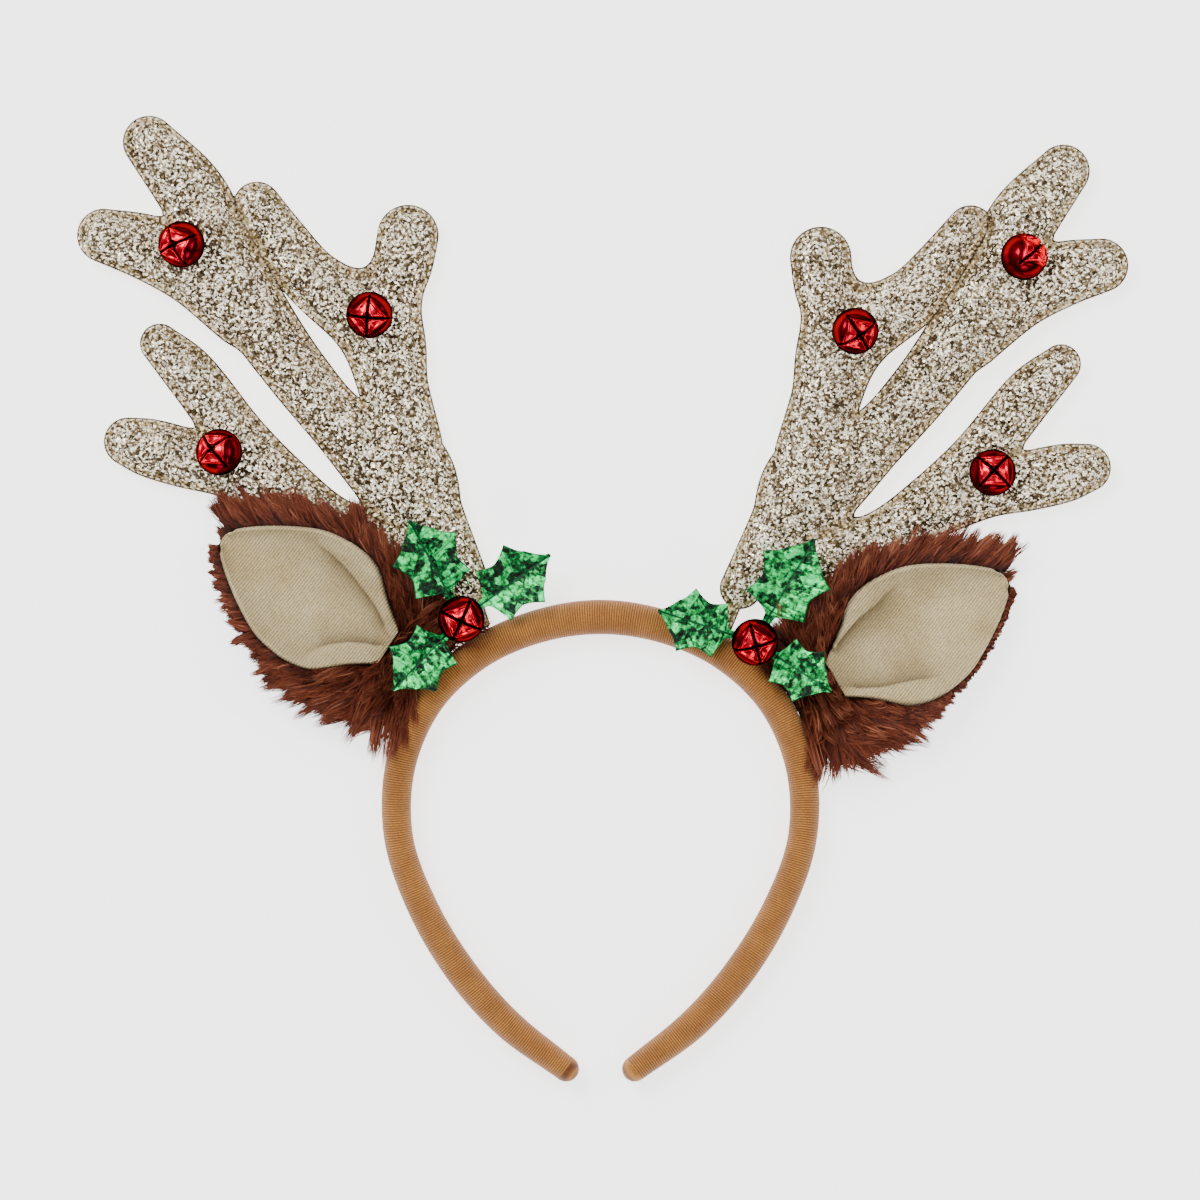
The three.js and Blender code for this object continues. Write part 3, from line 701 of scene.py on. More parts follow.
def lining_twill():
    paint = Paint("cream_twill", Roughness=0.9, Sheen_Weight=0.1)
    rotation = (0, 0, math.radians(TWILL_TURN))
    turned = paint.node("ShaderNodeMapping", {"Vector": paint.place, "Rotation": rotation})
    inputs = {"Vector": turned.outputs[0], "Scale": TWILL_SCALE, "Distortion": 0.7, "Detail": 1.0}
    wave = paint.node("ShaderNodeTexWave", inputs, bands_direction="X").outputs["Fac"]
    threads = paint.ramp(wave, [(0.1, (204, 184, 136)), (0.75, (246, 230, 186))])
    color = paint.times(threads, paint.mottle(12, (224, 217, 202), WHITE))
    color = paint.times(color, paint.mottle(0.5, (204, 196, 180), WHITE, detail=3))
    # Darker beside the folded lips: painted shade.
    paint.set("Base Color", paint.mix(paint.mark("painted_shade"), color, linear(112, 92, 62)))
    paint.bump(paint.math("ADD", wave, paint.noise(0.5, 2)), 0.25, 0.9)
    return paint.made


# Foil tones from near black to bright green: painted shade and reflection of the crumpled foil.
FOIL_TONES = [
    (0.5, (0, 12, 4)),
    (0.56, (0, 58, 22)),
    (0.62, (4, 124, 52)),
    (0.69, (30, 196, 92)),
    (0.78, (60, 250, 134)),
]
CRUMPLE = 1.1
FACET = 3.4


def leaf_foil():
    paint = Paint("green_foil", Roughness=0.3, Metallic=0.7)
    # Facets and crumples are painted darker or lighter at random: painted shade and reflection.
    crumple, facet = (paint.red(paint.cells(size)) for size in (CRUMPLE, FACET))
    pick = paint.math("MULTIPLY_ADD", facet, 0.26, paint.math("MULTIPLY", crumple, 0.16))
    pick = paint.math("MULTIPLY_ADD", paint.noise(1.9, 4, 0.7), 0.85, pick)
    # The veins and midrib are painted darker: painted shade in their grooves.
    vein = paint.band(paint.mark("vein"), 0.3, 0.9)
    color = paint.mix(vein, paint.ramp(pick, FOIL_TONES), linear(4, 60, 32))
    # A dark rim along the leaf's outline: painted shadow of its thickness.
    edge = paint.band(paint.mark("edge"), 0.94, 1.0)
    paint.set("Base Color", paint.mix(edge, color, linear(8, 80, 44)))
    height = paint.math("ADD", paint.noise(1.1, 3, 0.6), paint.math("MULTIPLY", facet, 0.8))
    paint.bump(height, 0.5, 0.8)
    return paint.made


def bell_metal():
    paint = Paint("red_bell_metal", Roughness=0.2, Metallic=1.0)
    paint.set("Specular Tint", linear(70, 10, 20))
    color = paint.mottle(5, (196, 6, 32), (240, 20, 54), detail=3)
    # Darker in the slots, creases and turned-in middle and over the body: painted shade.
    paint.set("Base Color", paint.mix(paint.mark("painted_shade"), color, linear(30, 2, 10)))
    paint.bump(paint.noise(3, 1), 0.03)
    return paint.made


def clear_glue():
    paint = Paint("clear_glue", Roughness=0.12, IOR=1.48, Transmission_Weight=0.85)
    paint.set("Base Color", paint.mottle(4, (226, 222, 214), (250, 248, 244)))
    paint.bump(paint.noise(1.5, 3), 0.25)
    return paint.made


# Headband

HALF_BAND = [(across * BAND_SPAN / 2, -down * BAND_RISE) for across, down, thick in BAND_ROWS]
BAND_LINE = [(-x, y) for x, y in HALF_BAND[:0:-1]] + HALF_BAND
HALF_THICKS = [thick * BAND_THICKNESS for across, down, thick in BAND_ROWS]
BAND_THICKS = [(thick,) for thick in HALF_THICKS[:0:-1] + HALF_THICKS]


def band_shares(shares):
    """The spline's own shares at shares of the band's length, and that length."""
    t = np.linspace(0, 1, 201)
    run = run_along(spline(BAND_LINE, t))
    return np.interp(np.asarray(shares) * run[-1], run, t), run[-1]


def beside_band(seat, off, height):
    """A point off the outer edge of the right arm, at a share of the way from crown to tip."""
    t, _ = band_shares([0.5 + seat / 2])
    ahead = heading_of(BAND_LINE, t)[0]
    reach = spline(BAND_THICKS, t)[0, 0] / 2 + off
    x, y = spline(BAND_LINE, t)[0]
    return np.array([x - ahead[1] * reach, y + ahead[0] * reach, height])


BAND_SAMPLES = spline(BAND_LINE, np.linspace(0, 1, 400))
BAND_HALVES = spline(BAND_THICKS, np.linspace(0, 1, 400))[:, 0] / 2


def off_band(x, y):
    """How far points lie outside the band's edge, seen from the front."""
    best = np.full(len(x), np.inf)
    for (cx, cy), half in zip(BAND_SAMPLES, BAND_HALVES):
        best = np.minimum(best, np.hypot(x - cx, y - cy) - half)
    return best


def make_band():
    _, length = band_shares([0])
    count = int(length / RIB_PITCH * RINGS_PER_RIB)
    shares, _ = band_shares(np.linspace(0, 1, count))
    ends = np.sin(np.linspace(0, math.pi / 2, END_RINGS + 2)[1:-1])
    t = np.concatenate([np.zeros(END_RINGS), shares, np.ones(END_RINGS)])
    past = np.concatenate([-ends[::-1], np.zeros(count), ends])
    half = spline(BAND_THICKS, t)[:, 0] / 2
    ahead = heading_of(BAND_LINE, t)
    centre = spline(BAND_LINE, t) + ahead * (past * half)[:, None]
    out = np.stack([-ahead[:, 1], ahead[:, 0]], 1)
    shrink = np.sqrt(1 - past**2)[:, None]
    before, after = past[:END_RINGS] * half[0], length + past[-END_RINGS:] * half[-1]
    run = np.concatenate([before, np.linspace(0, length, count), after])
    around = 2 * math.pi * np.arange(BAND_POINTS) / BAND_POINTS
    phase = run[:, None] / RIB_PITCH + RIB_SLANT * np.sin(around)
    rib = 0.5 + 0.5 * np.cos(2 * math.pi * phase)
    lift = RIB_HEIGHT * (rib - 1)
    wide = (half[:, None] + lift) * shrink * np.cos(around)
    deep = (BAND_DEPTH / 2 + lift) * shrink * np.sin(around)
    x, y = (centre[:, k, None] + out[:, k, None] * wide for k in (0, 1))
    points = np.stack([x, y, BAND_DEPTH / 2 + deep], -1).reshape(-1, 3)
    poles = [
        [*(centre[end] + sign * ahead[end] * half[end] * (1 - ends[-1])), BAND_DEPTH / 2]
        for end, sign in ((0, -1), (-1, 1))
    ]
    made = make_piece(
        "band_wrap",
        "headband",
        np.vstack([points, poles]),
        tube_faces(len(t), BAND_POINTS),
        [band_fabric()],
        marks={"rib": np.append(rib, [0.5, 0.5])},
    )


# Antlers


AS_DRAWN = (1, 0)


def limb_run(rows, tuck, growth):
    """Middles and half widths along a limb, close together. Growth is a stretch from the limb's
    root and the degrees that it leans outwards there."""
    out, up, half, lift = np.array(rows, float).T
    reach = out * ANTLER_REACH * (1 - tuck * up)
    places = np.stack([reach, up * ANTLER_RISE, (0.5 + lift) * ANTLER_THICKNESS], 1)
    stretch, lean = growth
    root = places[0] * (1, 1, 0)
    places = (places - root) @ turn_z(-lean).T * (stretch, stretch, 1) + root
    halves = half[:, None] * BEAM_WIDTH / 2
    t = np.linspace(0, 1, 30 * len(rows))
    return spline(places, t), spline(halves, t, power=0)[:, 0]


def smooth_max(a, b, width):
    near = np.maximum(width - np.abs(a - b), 0) / width
    return np.maximum(a, b) + near * near * width / 4


def dome(depth, half):
    """How high the padding stands over the seam at a depth inside a limb's outline."""
    padded = np.maximum(half - RIM_WIDTH, 0.4 * half)
    full = (ANTLER_THICKNESS - SEAM_THICKNESS) / 2
    rise = full * np.minimum(1, padded / (BEAM_WIDTH / 2 - RIM_WIDTH)) ** 0.75
    share = np.clip((depth - (half - padded)) / padded, 0, 1)
    return rise * (1 - (1 - share) ** 2) ** 0.72


def off_line(x, y, start, end):
    """How far points lie from a straight line between two points."""
    run = np.subtract(end, start)
    share = np.clip(((x - start[0]) * run[0] + (y - start[1]) * run[1]) / (run @ run), 0, 1)
    return np.hypot(x - start[0] - share * run[0], y - start[1] - share * run[1])


class AntlerField:
    """The antler's outline and padding as numbers on a grid in its own frame."""

    def __init__(self, side):
        self.seat = beside_band(side["antler"]["seat"], 0, 0)
        self.turn = turn_z(-side["antler"]["lean"])
        self.x = np.arange(-GRID_LEFT, ANTLER_REACH + GRID_BEYOND, ANTLER_CELL)
        self.y = np.arange(-GRID_BELOW, ANTLER_RISE + GRID_BEYOND, ANTLER_CELL)
        gx, gy = self.grid = np.meshgrid(self.x, self.y, indexing="ij")
        tuck, growth = side["antler"]["tuck"], side["antler"]["growth"]
        limbs = {
            name: self.near_limb(*limb_run(rows, tuck, growth.get(name, AS_DRAWN)))
            for name, rows in LIMBS.items()
        }
        place = np.stack([gx.ravel(), gy.ravel(), np.zeros(gx.size)], 1)
        self.set_outline(limbs, place)
        self.set_padding(limbs.values(), waves(place, ANTLER_WAVES, side["seeds"]["antler"]))

    def set_outline(self, limbs, place):
        """How deep the grid's points lie inside the outline, also inside the line between two
        limbs, and how near they are to the fold."""
        beam, lower, inner = (
            smooth_max(limbs[first][0], limbs[second][0], blend)
            for (first, second), blend in LIMB_GROUPS
        )
        depth = np.maximum(smooth_max(beam, lower, FOOT_BLEND), inner)
        depth = np.maximum(depth, self.tab_depth())
        world = self.to_band(place)
        clear = off_band(world[:, 0], world[:, 1]).reshape(depth.shape) - CLEARANCE
        self.depth = np.minimum(depth, clear)
        parted = np.clip((self.grid[1] - SPLIT_START) / (SPLIT_END - SPLIT_START), 0, 1)
        self.edge = np.minimum(self.depth, np.abs(beam - inner) / 2 + BEAM_WIDTH * (1 - parted))
        self.fold = ridge(off_line(*self.grid, *FOLD), FOLD_WIDTH)

    def set_padding(self, limbs, folds):
        """The height of the seam's middle, and how high the padding stands over the seam."""
        rise = np.zeros(self.depth.shape)
        weight = np.full(self.depth.shape, 1e-9)
        middle = ANTLER_THICKNESS / 2 * weight
        for best, half, level in limbs:
            here = np.minimum(best, self.edge)
            bump = np.where(here > 0, dome(here, half), 0)
            higher = np.maximum(rise, bump)
            fill = smooth_max(rise, bump, RISE_BLEND) - higher
            rise = higher + fill * np.clip(np.minimum(rise, bump), 0, 1)
            share = np.exp(np.clip(best, -20, 20) / LEVEL_BLEND)
            middle += share * level
            weight += share
        self.middle = middle / weight
        rise += (folds.reshape(rise.shape) - FOLD_DEPTH * self.fold) * np.clip(rise / 2, 0, 1)
        self.rise = np.where(self.depth > 0, np.maximum(rise, 0), 0)

    def near_limb(self, places, halves):
        """How deep the grid's points lie in a limb, and its half width and height there."""
        gx, gy = self.grid
        best = np.full(gx.shape, float(FAR_OUT))
        half = np.ones(gx.shape)
        level = np.zeros(gx.shape)
        for (cx, cy, cz), h in zip(places, halves):
            near = h + LIMB_MARGIN
            part = np.ix_(np.abs(self.x - cx) < near, np.abs(self.y - cy) < near)
            here = h - np.hypot(gx[part] - cx, gy[part] - cy)
            better = here > best[part]
            for kept, found in ((best, here), (half, h), (level, cz)):
                kept[part] = np.where(better, found, kept[part])
        return best, half, level

    def tab_depth(self):
        """How deep the grid's points lie in the tab that joins the antler to the band."""
        gx, gy = self.grid
        top = (LIMBS["beam"][0][0] * ANTLER_REACH, LIMBS["beam"][0][1] * ANTLER_RISE)
        length = math.hypot(*top)
        along = (gx * top[0] + gy * top[1]) / length
        across = np.abs(gx * top[1] - gy * top[0]) / length
        return np.minimum(TAB_SHOWN / 2 - across, np.minimum(along + TAB_UNDER, length - along))

    def to_band(self, points):
        return points @ self.turn.T + self.seat

    def sample(self, values, x, y):
        """Values of the grid at points in the antler's own frame."""
        i = np.clip((x - self.x[0]) / ANTLER_CELL, 0, len(self.x) - 1.001)
        j = np.clip((y - self.y[0]) / ANTLER_CELL, 0, len(self.y) - 1.001)
        low_i, low_j = i.astype(int), j.astype(int)
        u, v = i - low_i, j - low_j
        return sum(
            values[low_i + di, low_j + dj] * (u if di else 1 - u) * (v if dj else 1 - v)
            for dj, di in np.ndindex(2, 2)
        )


def outline_loops(edges):
    """Directed edges chained into closed loops of points."""
    onward = {}
    for a, b in edges:
        onward.setdefault(a, []).append(b)
    loops = []
    while onward:
        start = next(iter(onward))
        loop = [start]
        while loop[-1] in onward:
            following = onward[loop[-1]]
            step = following.pop()
            if not following:
                del onward[loop[-1]]
            if step == start:
                break
            loop.append(step)
        loops.append(loop)
    return loops


def stitch_run(loop, field):
    """Stitches along one closed outline: flat lens shapes a little inside it, front and back."""
    closed = np.vstack([loop, loop[:1]])
    run = run_along(closed)
    count = int(run[-1] / STITCH_PITCH)
    at = (np.arange(count) + 0.5) / max(count, 1) * run[-1]
    place, later = (
        np.stack([np.interp(where, run, closed[:, k]) for k in (0, 1)], 1)
        for where in (at, (at + 0.8) % run[-1])
    )
    ahead = unit(later - place)
    inward = np.stack([-ahead[:, 1], ahead[:, 0]], 1)
    middle = place + inward * STITCH_INSET
    level = field.sample(field.middle, middle[:, 0], middle[:, 1])
    corners = len(STITCH_ROWS)
    top = corners - 1
    points, faces = [], []
    for facing in (1, -1):
        hub = (np.arange(count) + len(points) * count)[:, None] * corners
        lens = [
            np.column_stack(
                [
                    middle + ahead * (along * STITCH_LENGTH) + inward * (aside * STITCH_WIDTH),
                    level + facing * (SEAM_THICKNESS / 2 + up),
                ]
            )
            for along, aside, up in STITCH_ROWS
        ]
        points.append(np.stack(lens, 1).reshape(-1, 3))
        for k in range(top):
            pair = [(k + 1) % top, k][::facing]
            faces.append(np.hstack([hub + pair[0], hub + pair[1], hub + top]))
    return np.vstack(points), np.vstack(faces)


def cut_grid(field):
    """The grid's quads inside the outline, with the outermost points moved onto it, and the
    edges along it."""
    gx, gy = field.grid
    inside = field.depth > 0
    cell = inside[:-1, :-1] & inside[1:, :-1] & inside[:-1, 1:] & inside[1:, 1:]
    used = np.zeros(inside.shape, bool)
    for di, dj in np.ndindex(2, 2):
        used[di : di + cell.shape[0], dj : dj + cell.shape[1]] |= cell
    number = np.full(inside.shape, -1)
    number[used] = np.arange(used.sum())
    i, j = np.nonzero(cell)
    quads = np.stack([number[i, j], number[i + 1, j], number[i + 1, j + 1], number[i, j + 1]], 1)
    x, y = gx[used], gy[used]
    edges = np.concatenate([quads[:, [k, (k + 1) % 4]] for k in range(4)])
    key = edges[:, 0] * len(x) + edges[:, 1]
    back_key = edges[:, 1] * len(x) + edges[:, 0]
    rim_edges = edges[~np.isin(key, back_key)]
    rim = np.unique(rim_edges)
    slope = np.stack(np.gradient(field.depth, ANTLER_CELL), -1)[used][rim]
    steep = np.maximum((slope**2).sum(1, keepdims=True), 0.3)
    move = np.clip(slope * field.depth[used][rim][:, None] / steep, -0.9, 0.9)
    x[rim] -= move[:, 0]
    y[rim] -= move[:, 1]
    return x, y, quads, rim_edges


def make_antler(side, field, glitter, sewing):
    x, y, quads, rim_edges = cut_grid(field)
    kept = (field.middle, field.rise, field.edge, field.fold)
    level, rise, edge, fold = (field.sample(values, x, y) for values in kept)
    rim = np.unique(rim_edges)
    rise[rim] = 0
    edge[rim] = 0
    groove = GROOVE_DEPTH * ridge(edge - RIM_WIDTH, GROOVE_WIDTH)
    height = SEAM_THICKNESS / 2 + rise - groove
    height[rim] = SEAM_THICKNESS / 2 - RIM_BEVEL
    count = len(x)
    points = [np.stack([x, y, level + facing * height], 1) for facing in (1, -1)]
    faces = [quads, quads[:, ::-1] + count, np.hstack([rim_edges[:, ::-1], rim_edges + count])]
    which = [0, 0, 0]
    start = 2 * count
    flat = np.stack([x, y], 1)
    for loop in outline_loops(rim_edges.tolist()):
        if len(loop) < SHORTEST_SEAM:
            continue
        more, triangles = stitch_run(flat[loop], field)
        points.append(more)
        faces.append(triangles + start)
        which.append(1)
        start += len(more)
    sewn = np.zeros(start - 2 * count)
    name = side["name"]
    made = make_piece(
        f"glitter_antler_{name}",
        f"antler_{name}",
        field.to_band(np.vstack(points)),
        faces,
        [glitter, sewing],
        side["mirror"],
        {"edge": np.concatenate([edge, edge, sewn]), "fold": np.concatenate([fold, fold, sewn])},
        which,
    )


# Ears

EAR_LINE = [
    (along * EAR_LENGTH, half * EAR_WIDTH / 2, lined) for along, half, lined, _, _ in EAR_ROWS
]
EAR_DEPTHS = [(cup * EAR_CUP, KEEL_HEIGHT + keel * EAR_CUP, 0) for *_, cup, keel in EAR_ROWS]


def ear_lined(t):
    return spline(EAR_LINE, t)[:, 2]


def ear_point(t, side, under):
    """Points of the ear: under is the depth below the lining's face, side runs from -1 to 1."""
    line = spline(EAR_LINE, t)
    depths = spline(EAR_DEPTHS, t)
    half, cup = line[:, 1], depths[:, 0]
    radius = (half**2 + cup**2) / (2 * cup)
    turn = side * 2 * np.arctan(cup / half)
    centre = depths[:, 1] + radius
    reach = radius + under
    return np.stack([line[:, 0], reach * np.sin(turn), centre - reach * np.cos(turn)], 1)


def ear_outward(t, side):
    """The direction away from the lining's face."""
    return ear_point(t, side, 1) - ear_point(t, side, 0)


def ear_to_band(side):
    seat = beside_band(side["ear"]["seat"], 0, 0)
    turn = turn_z(90 - side["ear"]["lean"])
    return lambda points: points @ turn.T + seat


def cup_mesh(top, bottom, start, lining, rows, columns, relief=None):
    """A closed cup-shaped wall. A relief lifts its front and gives the painted shade beside its
    lips.
    """
    t = np.repeat(np.linspace(start, 1, rows), columns)
    share = np.tile(np.linspace(-1, 1, columns), rows)
    across = share * np.clip(ear_lined(t), 0, 1) if lining else share * SKIN_REACH
    lift, painted_shade = relief(t, across) if relief else (0, np.zeros(len(t)))
    points = np.stack([ear_point(t, across, top - lift), ear_point(t, across, bottom)])
    if lining:
        points[..., 0] -= TIP_ROUNDING * (share * soft_step((t - TIP_START) / (1 - TIP_START))) ** 2
    return points.reshape(-1, 3), sheet_faces(rows, columns), np.tile(painted_shade, 2)


def past_fold(points, fold):
    """How far points lie beyond a fold, away from the ear's middle, and how deep the fold is
    beside them. A fold runs from near the ear's tip to its foot."""
    line = spline(fold, np.linspace(0, 1, 40))
    ahead = np.diff(line, axis=0)
    off = points[:, None] - line[None, :-1]
    nearest = np.hypot(off[..., 0], off[..., 1]).argmin(1)
    off = off[np.arange(len(points)), nearest]
    step = ahead[nearest]
    turned = step[:, 1] * off[:, 0] - step[:, 0] * off[:, 1]
    beyond = np.hypot(*off.T) * np.sign(turned) * np.sign(fold[0][1])
    run = np.cumsum(np.hypot(*ahead.T))
    return beyond, np.clip(run[nearest] / FOLD_FADE, 0, 1)


def lining_relief(side):
    """The lips that are folded up along both edges, soft waves, and the painted shade beside the
    lips.
    """

    def relief(t, share):
        flat = ear_point(t, share, 0)[:, :2]
        lift = waves(np.column_stack([flat, np.zeros(len(t))]), LINING_WAVES, LINING_SEED)
        painted_shade = np.zeros(len(t))
        for fold in side["ear"]["folds"]:
            beyond, ends = past_fold(flat, fold)
            ends = ends * np.clip(1.6 - t, 0, 1)
            lip = soft_step(beyond / LIP_STEP + 0.5) * np.exp(-np.clip(beyond, 0, None) / LIP_FALL)
            crease = CREASE_DEPTH * ridge(beyond, CREASE_WIDTH)
            lift = lift + LIP_HEIGHT * lip * ends - crease * ends
            # Painted shade: darkest at a fold line, fading slowly towards the ear's middle beside
            # the raised lip and fast onto the lip.
            under = 0.5 * np.exp(beyond / 1.5) + 0.5 * np.exp(beyond / 7)
            shade = np.where(beyond < 0, under, np.exp(-beyond / 0.4))
            painted_shade = np.maximum(painted_shade, shade * ends)
        return lift * np.clip((1 - np.abs(share)) * 6, 0, 1), painted_shade

    return relief


def make_lining(side, twill):
    start = LINING_SETBACK / EAR_LENGTH
    points, faces, painted_shade = cup_mesh(0, LINING_WALL, start, True, 130, 96, lining_relief(side))
    made = make_piece(
        f"ear_cloth_{side['name']}",
        f"ear_lining_{side['name']}",
        ear_to_band(side)(points),
        faces,
        [twill],
        side["mirror"],
        {"painted_shade": painted_shade},
    )


STRAND_STEPS = np.array([0, 0.28, 0.55, 0.8, 1.0])

# The kinds of strand are the fringe, the back and the foot.
FOOT = 2
FUR_SHARES = (0.48, 0.15, 0.37)
FUR_LENGTHS = (1.0, 0.7, 0.95)


def fur_lines(side, rng, total, lengths, scatter):
    """Strands of an ear's fur from root to tip, in the ear's frame, and which kind each is."""
    kind = rng.choice(3, total, p=FUR_SHARES)
    foot = kind == FOOT
    t = rng.uniform(0, 1, total)
    t[foot] = rng.uniform(0, 0.5, foot.sum())
    edge = np.where(rng.uniform(size=total) < 0.5, -1.0, 1.0)
    share = rng.uniform(0, 1, total)
    lined = np.clip(ear_lined(t), 0, 1) * (t > LINING_SETBACK / EAR_LENGTH)
    places = [0.84 + 0.14 * share, 0.86 * share, lined + (1 - lined) * share]
    across = np.choose(kind, places) * edge
    outer = LINING_WALL + CLEARANCE
    deeper = outer + (KEEL_HEIGHT - outer) * rng.uniform(0, 1, total) ** 1.5
    root = ear_point(t, across, np.choose(kind, [deeper, KEEL_HEIGHT, outer]))
    away = ear_outward(t, across)
    lift = rng.uniform(0, 0.75, total)
    away[:, 2] = np.choose(kind, [lift - 0.15, away[:, 2] * 0.6, 0.5 + 0.3 * lift])
    away[:, 1] = np.where(foot, edge * np.maximum(np.abs(across), 0.5), away[:, 1])
    out_of_seat = np.abs(across) * (1.6 * np.minimum(1, t / 0.2) - 0.8)
    upper_sweep, lower_sweep = 2.2 + 1.6 * t**3, 0.7 + 2.5 * t**4
    sweep = np.where(across > 0, upper_sweep, lower_sweep)
    away = unit(away)
    away[:, 0] += np.where(foot, out_of_seat, sweep)
    way = unit(away) + rng.normal(0, scatter, (total, 3))
    lower = np.maximum(LEAST_FUR, LOWER_BUSH - side["ear"]["thinning"] * t)
    lower = lower * (1 - 0.35 * soft_step((t - 0.3) / 0.3))
    thinned = np.where(across < 0, lower, UPPER_BUSH - TIP_THINNING * t)
    length = FUR_LENGTH * thinned * rng.uniform(*lengths, total) * np.choose(kind, FUR_LENGTHS)
    line = root[:, None] + way[:, None] * (length[:, None, None] * STRAND_STEPS[:, None])
    line[..., 2] -= FUR_SAG * length[:, None] * STRAND_STEPS**2
    return line, kind


def gather(line, kind, guides, guide_kind):
    """Strands drawn together towards the nearest guide of their kind, and which guide that is."""
    nearest = np.zeros(len(line), int)
    for start in range(0, len(line), 2000):
        part = slice(start, start + 2000)
        gap = np.linalg.norm(line[part, None, 0] - guides[None, :, 0], axis=2)
        nearest[part] = (gap + 1000 * (kind[part, None] != guide_kind)).argmin(1)
    weight = (TUFT_PULL * STRAND_STEPS**1.2)[:, None]
    return line * (1 - weight) + guides[nearest] * weight, nearest


def keep_clear(points, field):
    """Fur points lifted over the antler and the table."""
    own = (points - field.seat) @ field.turn
    depth = field.sample(field.depth, own[:, 0], own[:, 1])
    top = field.sample(field.middle + field.rise, own[:, 0], own[:, 1]) + SEAM_THICKNESS / 2
    over = (depth > -0.6) & (points[:, 2] < top + 0.4)
    points[over, 2] = top[over] + 0.4
    points[:, 2] = np.maximum(points[:, 2], 0.3)
    return points


def make_fur(side, field, coat):
    rng = np.random.default_rng(side["seeds"]["fur"])
    guides, guide_kind = fur_lines(side, rng, TUFTS, (0.55, 1.3), 0.2)
    line, kind = fur_lines(side, rng, STRANDS, (0.65, 1.15), 0.13)
    line, tuft = gather(line, kind, guides, guide_kind)
    steps = STRAND_STEPS[None, :, None]
    line = line + rng.normal(0, 0.3, (STRANDS, 1, 3)) * np.sin(steps * math.pi * 1.4)
    tone = 0.36 + rng.normal(0, 0.13, TUFTS)[tuft] + rng.normal(0, 0.13, STRANDS)
    facing = np.array([0.0, 0.0, 1.0]) + rng.normal(0, 0.5, (STRANDS, 1, 3))
    aside = unit(np.cross(unit(np.gradient(line, axis=1)), facing))
    width = STRAND_WIDTH * rng.uniform(0.7, 1.2, (STRANDS, 1, 1)) * (1 - steps) ** 0.6 / 2
    left, right = line + aside * width, line - aside * width
    strip = np.stack([left[:, :-1], right[:, :-1]], 2).reshape(STRANDS, -1, 3)
    strip = np.concatenate([strip, line[:, -1:]], 1)
    size = strip.shape[1]
    base = np.arange(STRANDS)[:, None] * size
    quads = [base + [k, k + 1, k + 3, k + 2] for k in range(0, size - 3, 2)]
    tips = base + [size - 3, size - 2, size - 1]
    skin, skin_faces, skin_run = cup_mesh(LINING_WALL + CLEARANCE, KEEL_HEIGHT, 0, False, 40, 24)
    place = ear_to_band(side)
    strands = keep_clear(place(strip.reshape(-1, 3)), field)
    run = np.append(np.repeat(STRAND_STEPS[:-1], 2), 1.0)
    tones = np.clip(tone[:, None] + 0.25 * run**2, 0, 1)
    made = make_piece(
        f"fur_coat_{side['name']}",
        f"ear_fur_{side['name']}",
        np.vstack([strands, place(skin)]),
        [np.vstack(quads), tips] + [group + STRANDS * size for group in skin_faces],
        [coat],
        side["mirror"],
        {
            # The skin gets a dark tone and, with a run of 0, the roots' painted shade.
            "tone": np.append(tones, np.full(len(skin), 0.15)),
            "run": np.append(np.tile(run, STRANDS), skin_run),
        },
    )


# Holly


def leaf_outline(count):
    """Rib, edge and half along a leaf, with hollow edges between its spikes."""
    rows = np.array(LEAF_ROWS)
    per = count // (len(rows) - 1)
    parts = []
    for k in range(len(rows) - 1):
        share = np.linspace(0, 1, per, endpoint=False)
        straight = rows[k] + (rows[k + 1] - rows[k]) * share[:, None]
        falling = rows[k + 1, 2] < rows[k, 2]
        bent = 1 - (1 - share) ** LEAF_HOLLOW if falling else share**LEAF_HOLLOW
        straight[:, 2] = rows[k, 2] + (rows[k + 1, 2] - rows[k, 2]) * bent
        parts.append(straight)
    return np.vstack([*parts, rows[-1:]])


VEINS = (0.2, 0.3, 0.42, 0.54, 0.66, 0.78)
LEAF_COLUMNS = 25


def make_leaf(side, index, heart, foil):
    heading, climb, size = side["leaves"][index]
    outline = leaf_outline(84)
    across = np.linspace(-1, 1, LEAF_COLUMNS)
    length = LEAF_LENGTH * size - STALK_START
    rib, edge, half = (outline[:, k][:, None] for k in range(3))
    x = STALK_START + (rib + (edge - rib) * np.abs(across)) * length
    y = across * half * LEAF_WIDTH * size / 2
    vein = np.zeros(x.shape)
    for at in VEINS:
        vein = np.maximum(vein, ridge((rib - at) * length, VEIN_WIDTH) * (np.abs(across) < 0.86))
    vein = np.maximum(0.75 * vein * (half > 0.3), ridge(y, MIDRIB_WIDTH))
    fold = LEAF_FOLD * half * np.abs(across)
    pillow = PILLOW_HEIGHT * np.abs(np.sin(rib * PILLOW_PITCH)) * np.sin(np.abs(across) * math.pi)
    place = np.stack([x, y, np.zeros(x.shape)], -1).reshape(-1, 3)
    crumple = waves(place, LEAF_WAVES, side["seeds"]["leaf"] + 3 * index)
    crumple = crumple.reshape(x.shape) * np.clip(half * 2, 0, 1)
    surface = fold + pillow * half + crumple - VEIN_DEPTH * vein
    sheets = (surface + LEAF_THICKNESS / 2, surface - LEAF_THICKNESS / 2 + CLEARANCE)
    points = np.vstack([np.stack([x, y, z], -1).reshape(-1, 3) for z in sheets])
    turn = turn_z(heading) @ turn_y(-climb)
    sideways = np.broadcast_to(np.abs(across), x.shape)
    name = f"{side['name']}_{index + 1}"
    make_piece(
        f"foil_leaf_{name}",
        f"holly_leaf_{name}",
        points @ turn.T + heart,
        sheet_faces(len(outline), LEAF_COLUMNS),
        [foil],
        side["mirror"],
        {"vein": np.tile(vein.ravel(), 2), "edge": np.tile(sideways.ravel(), 2)},
    )


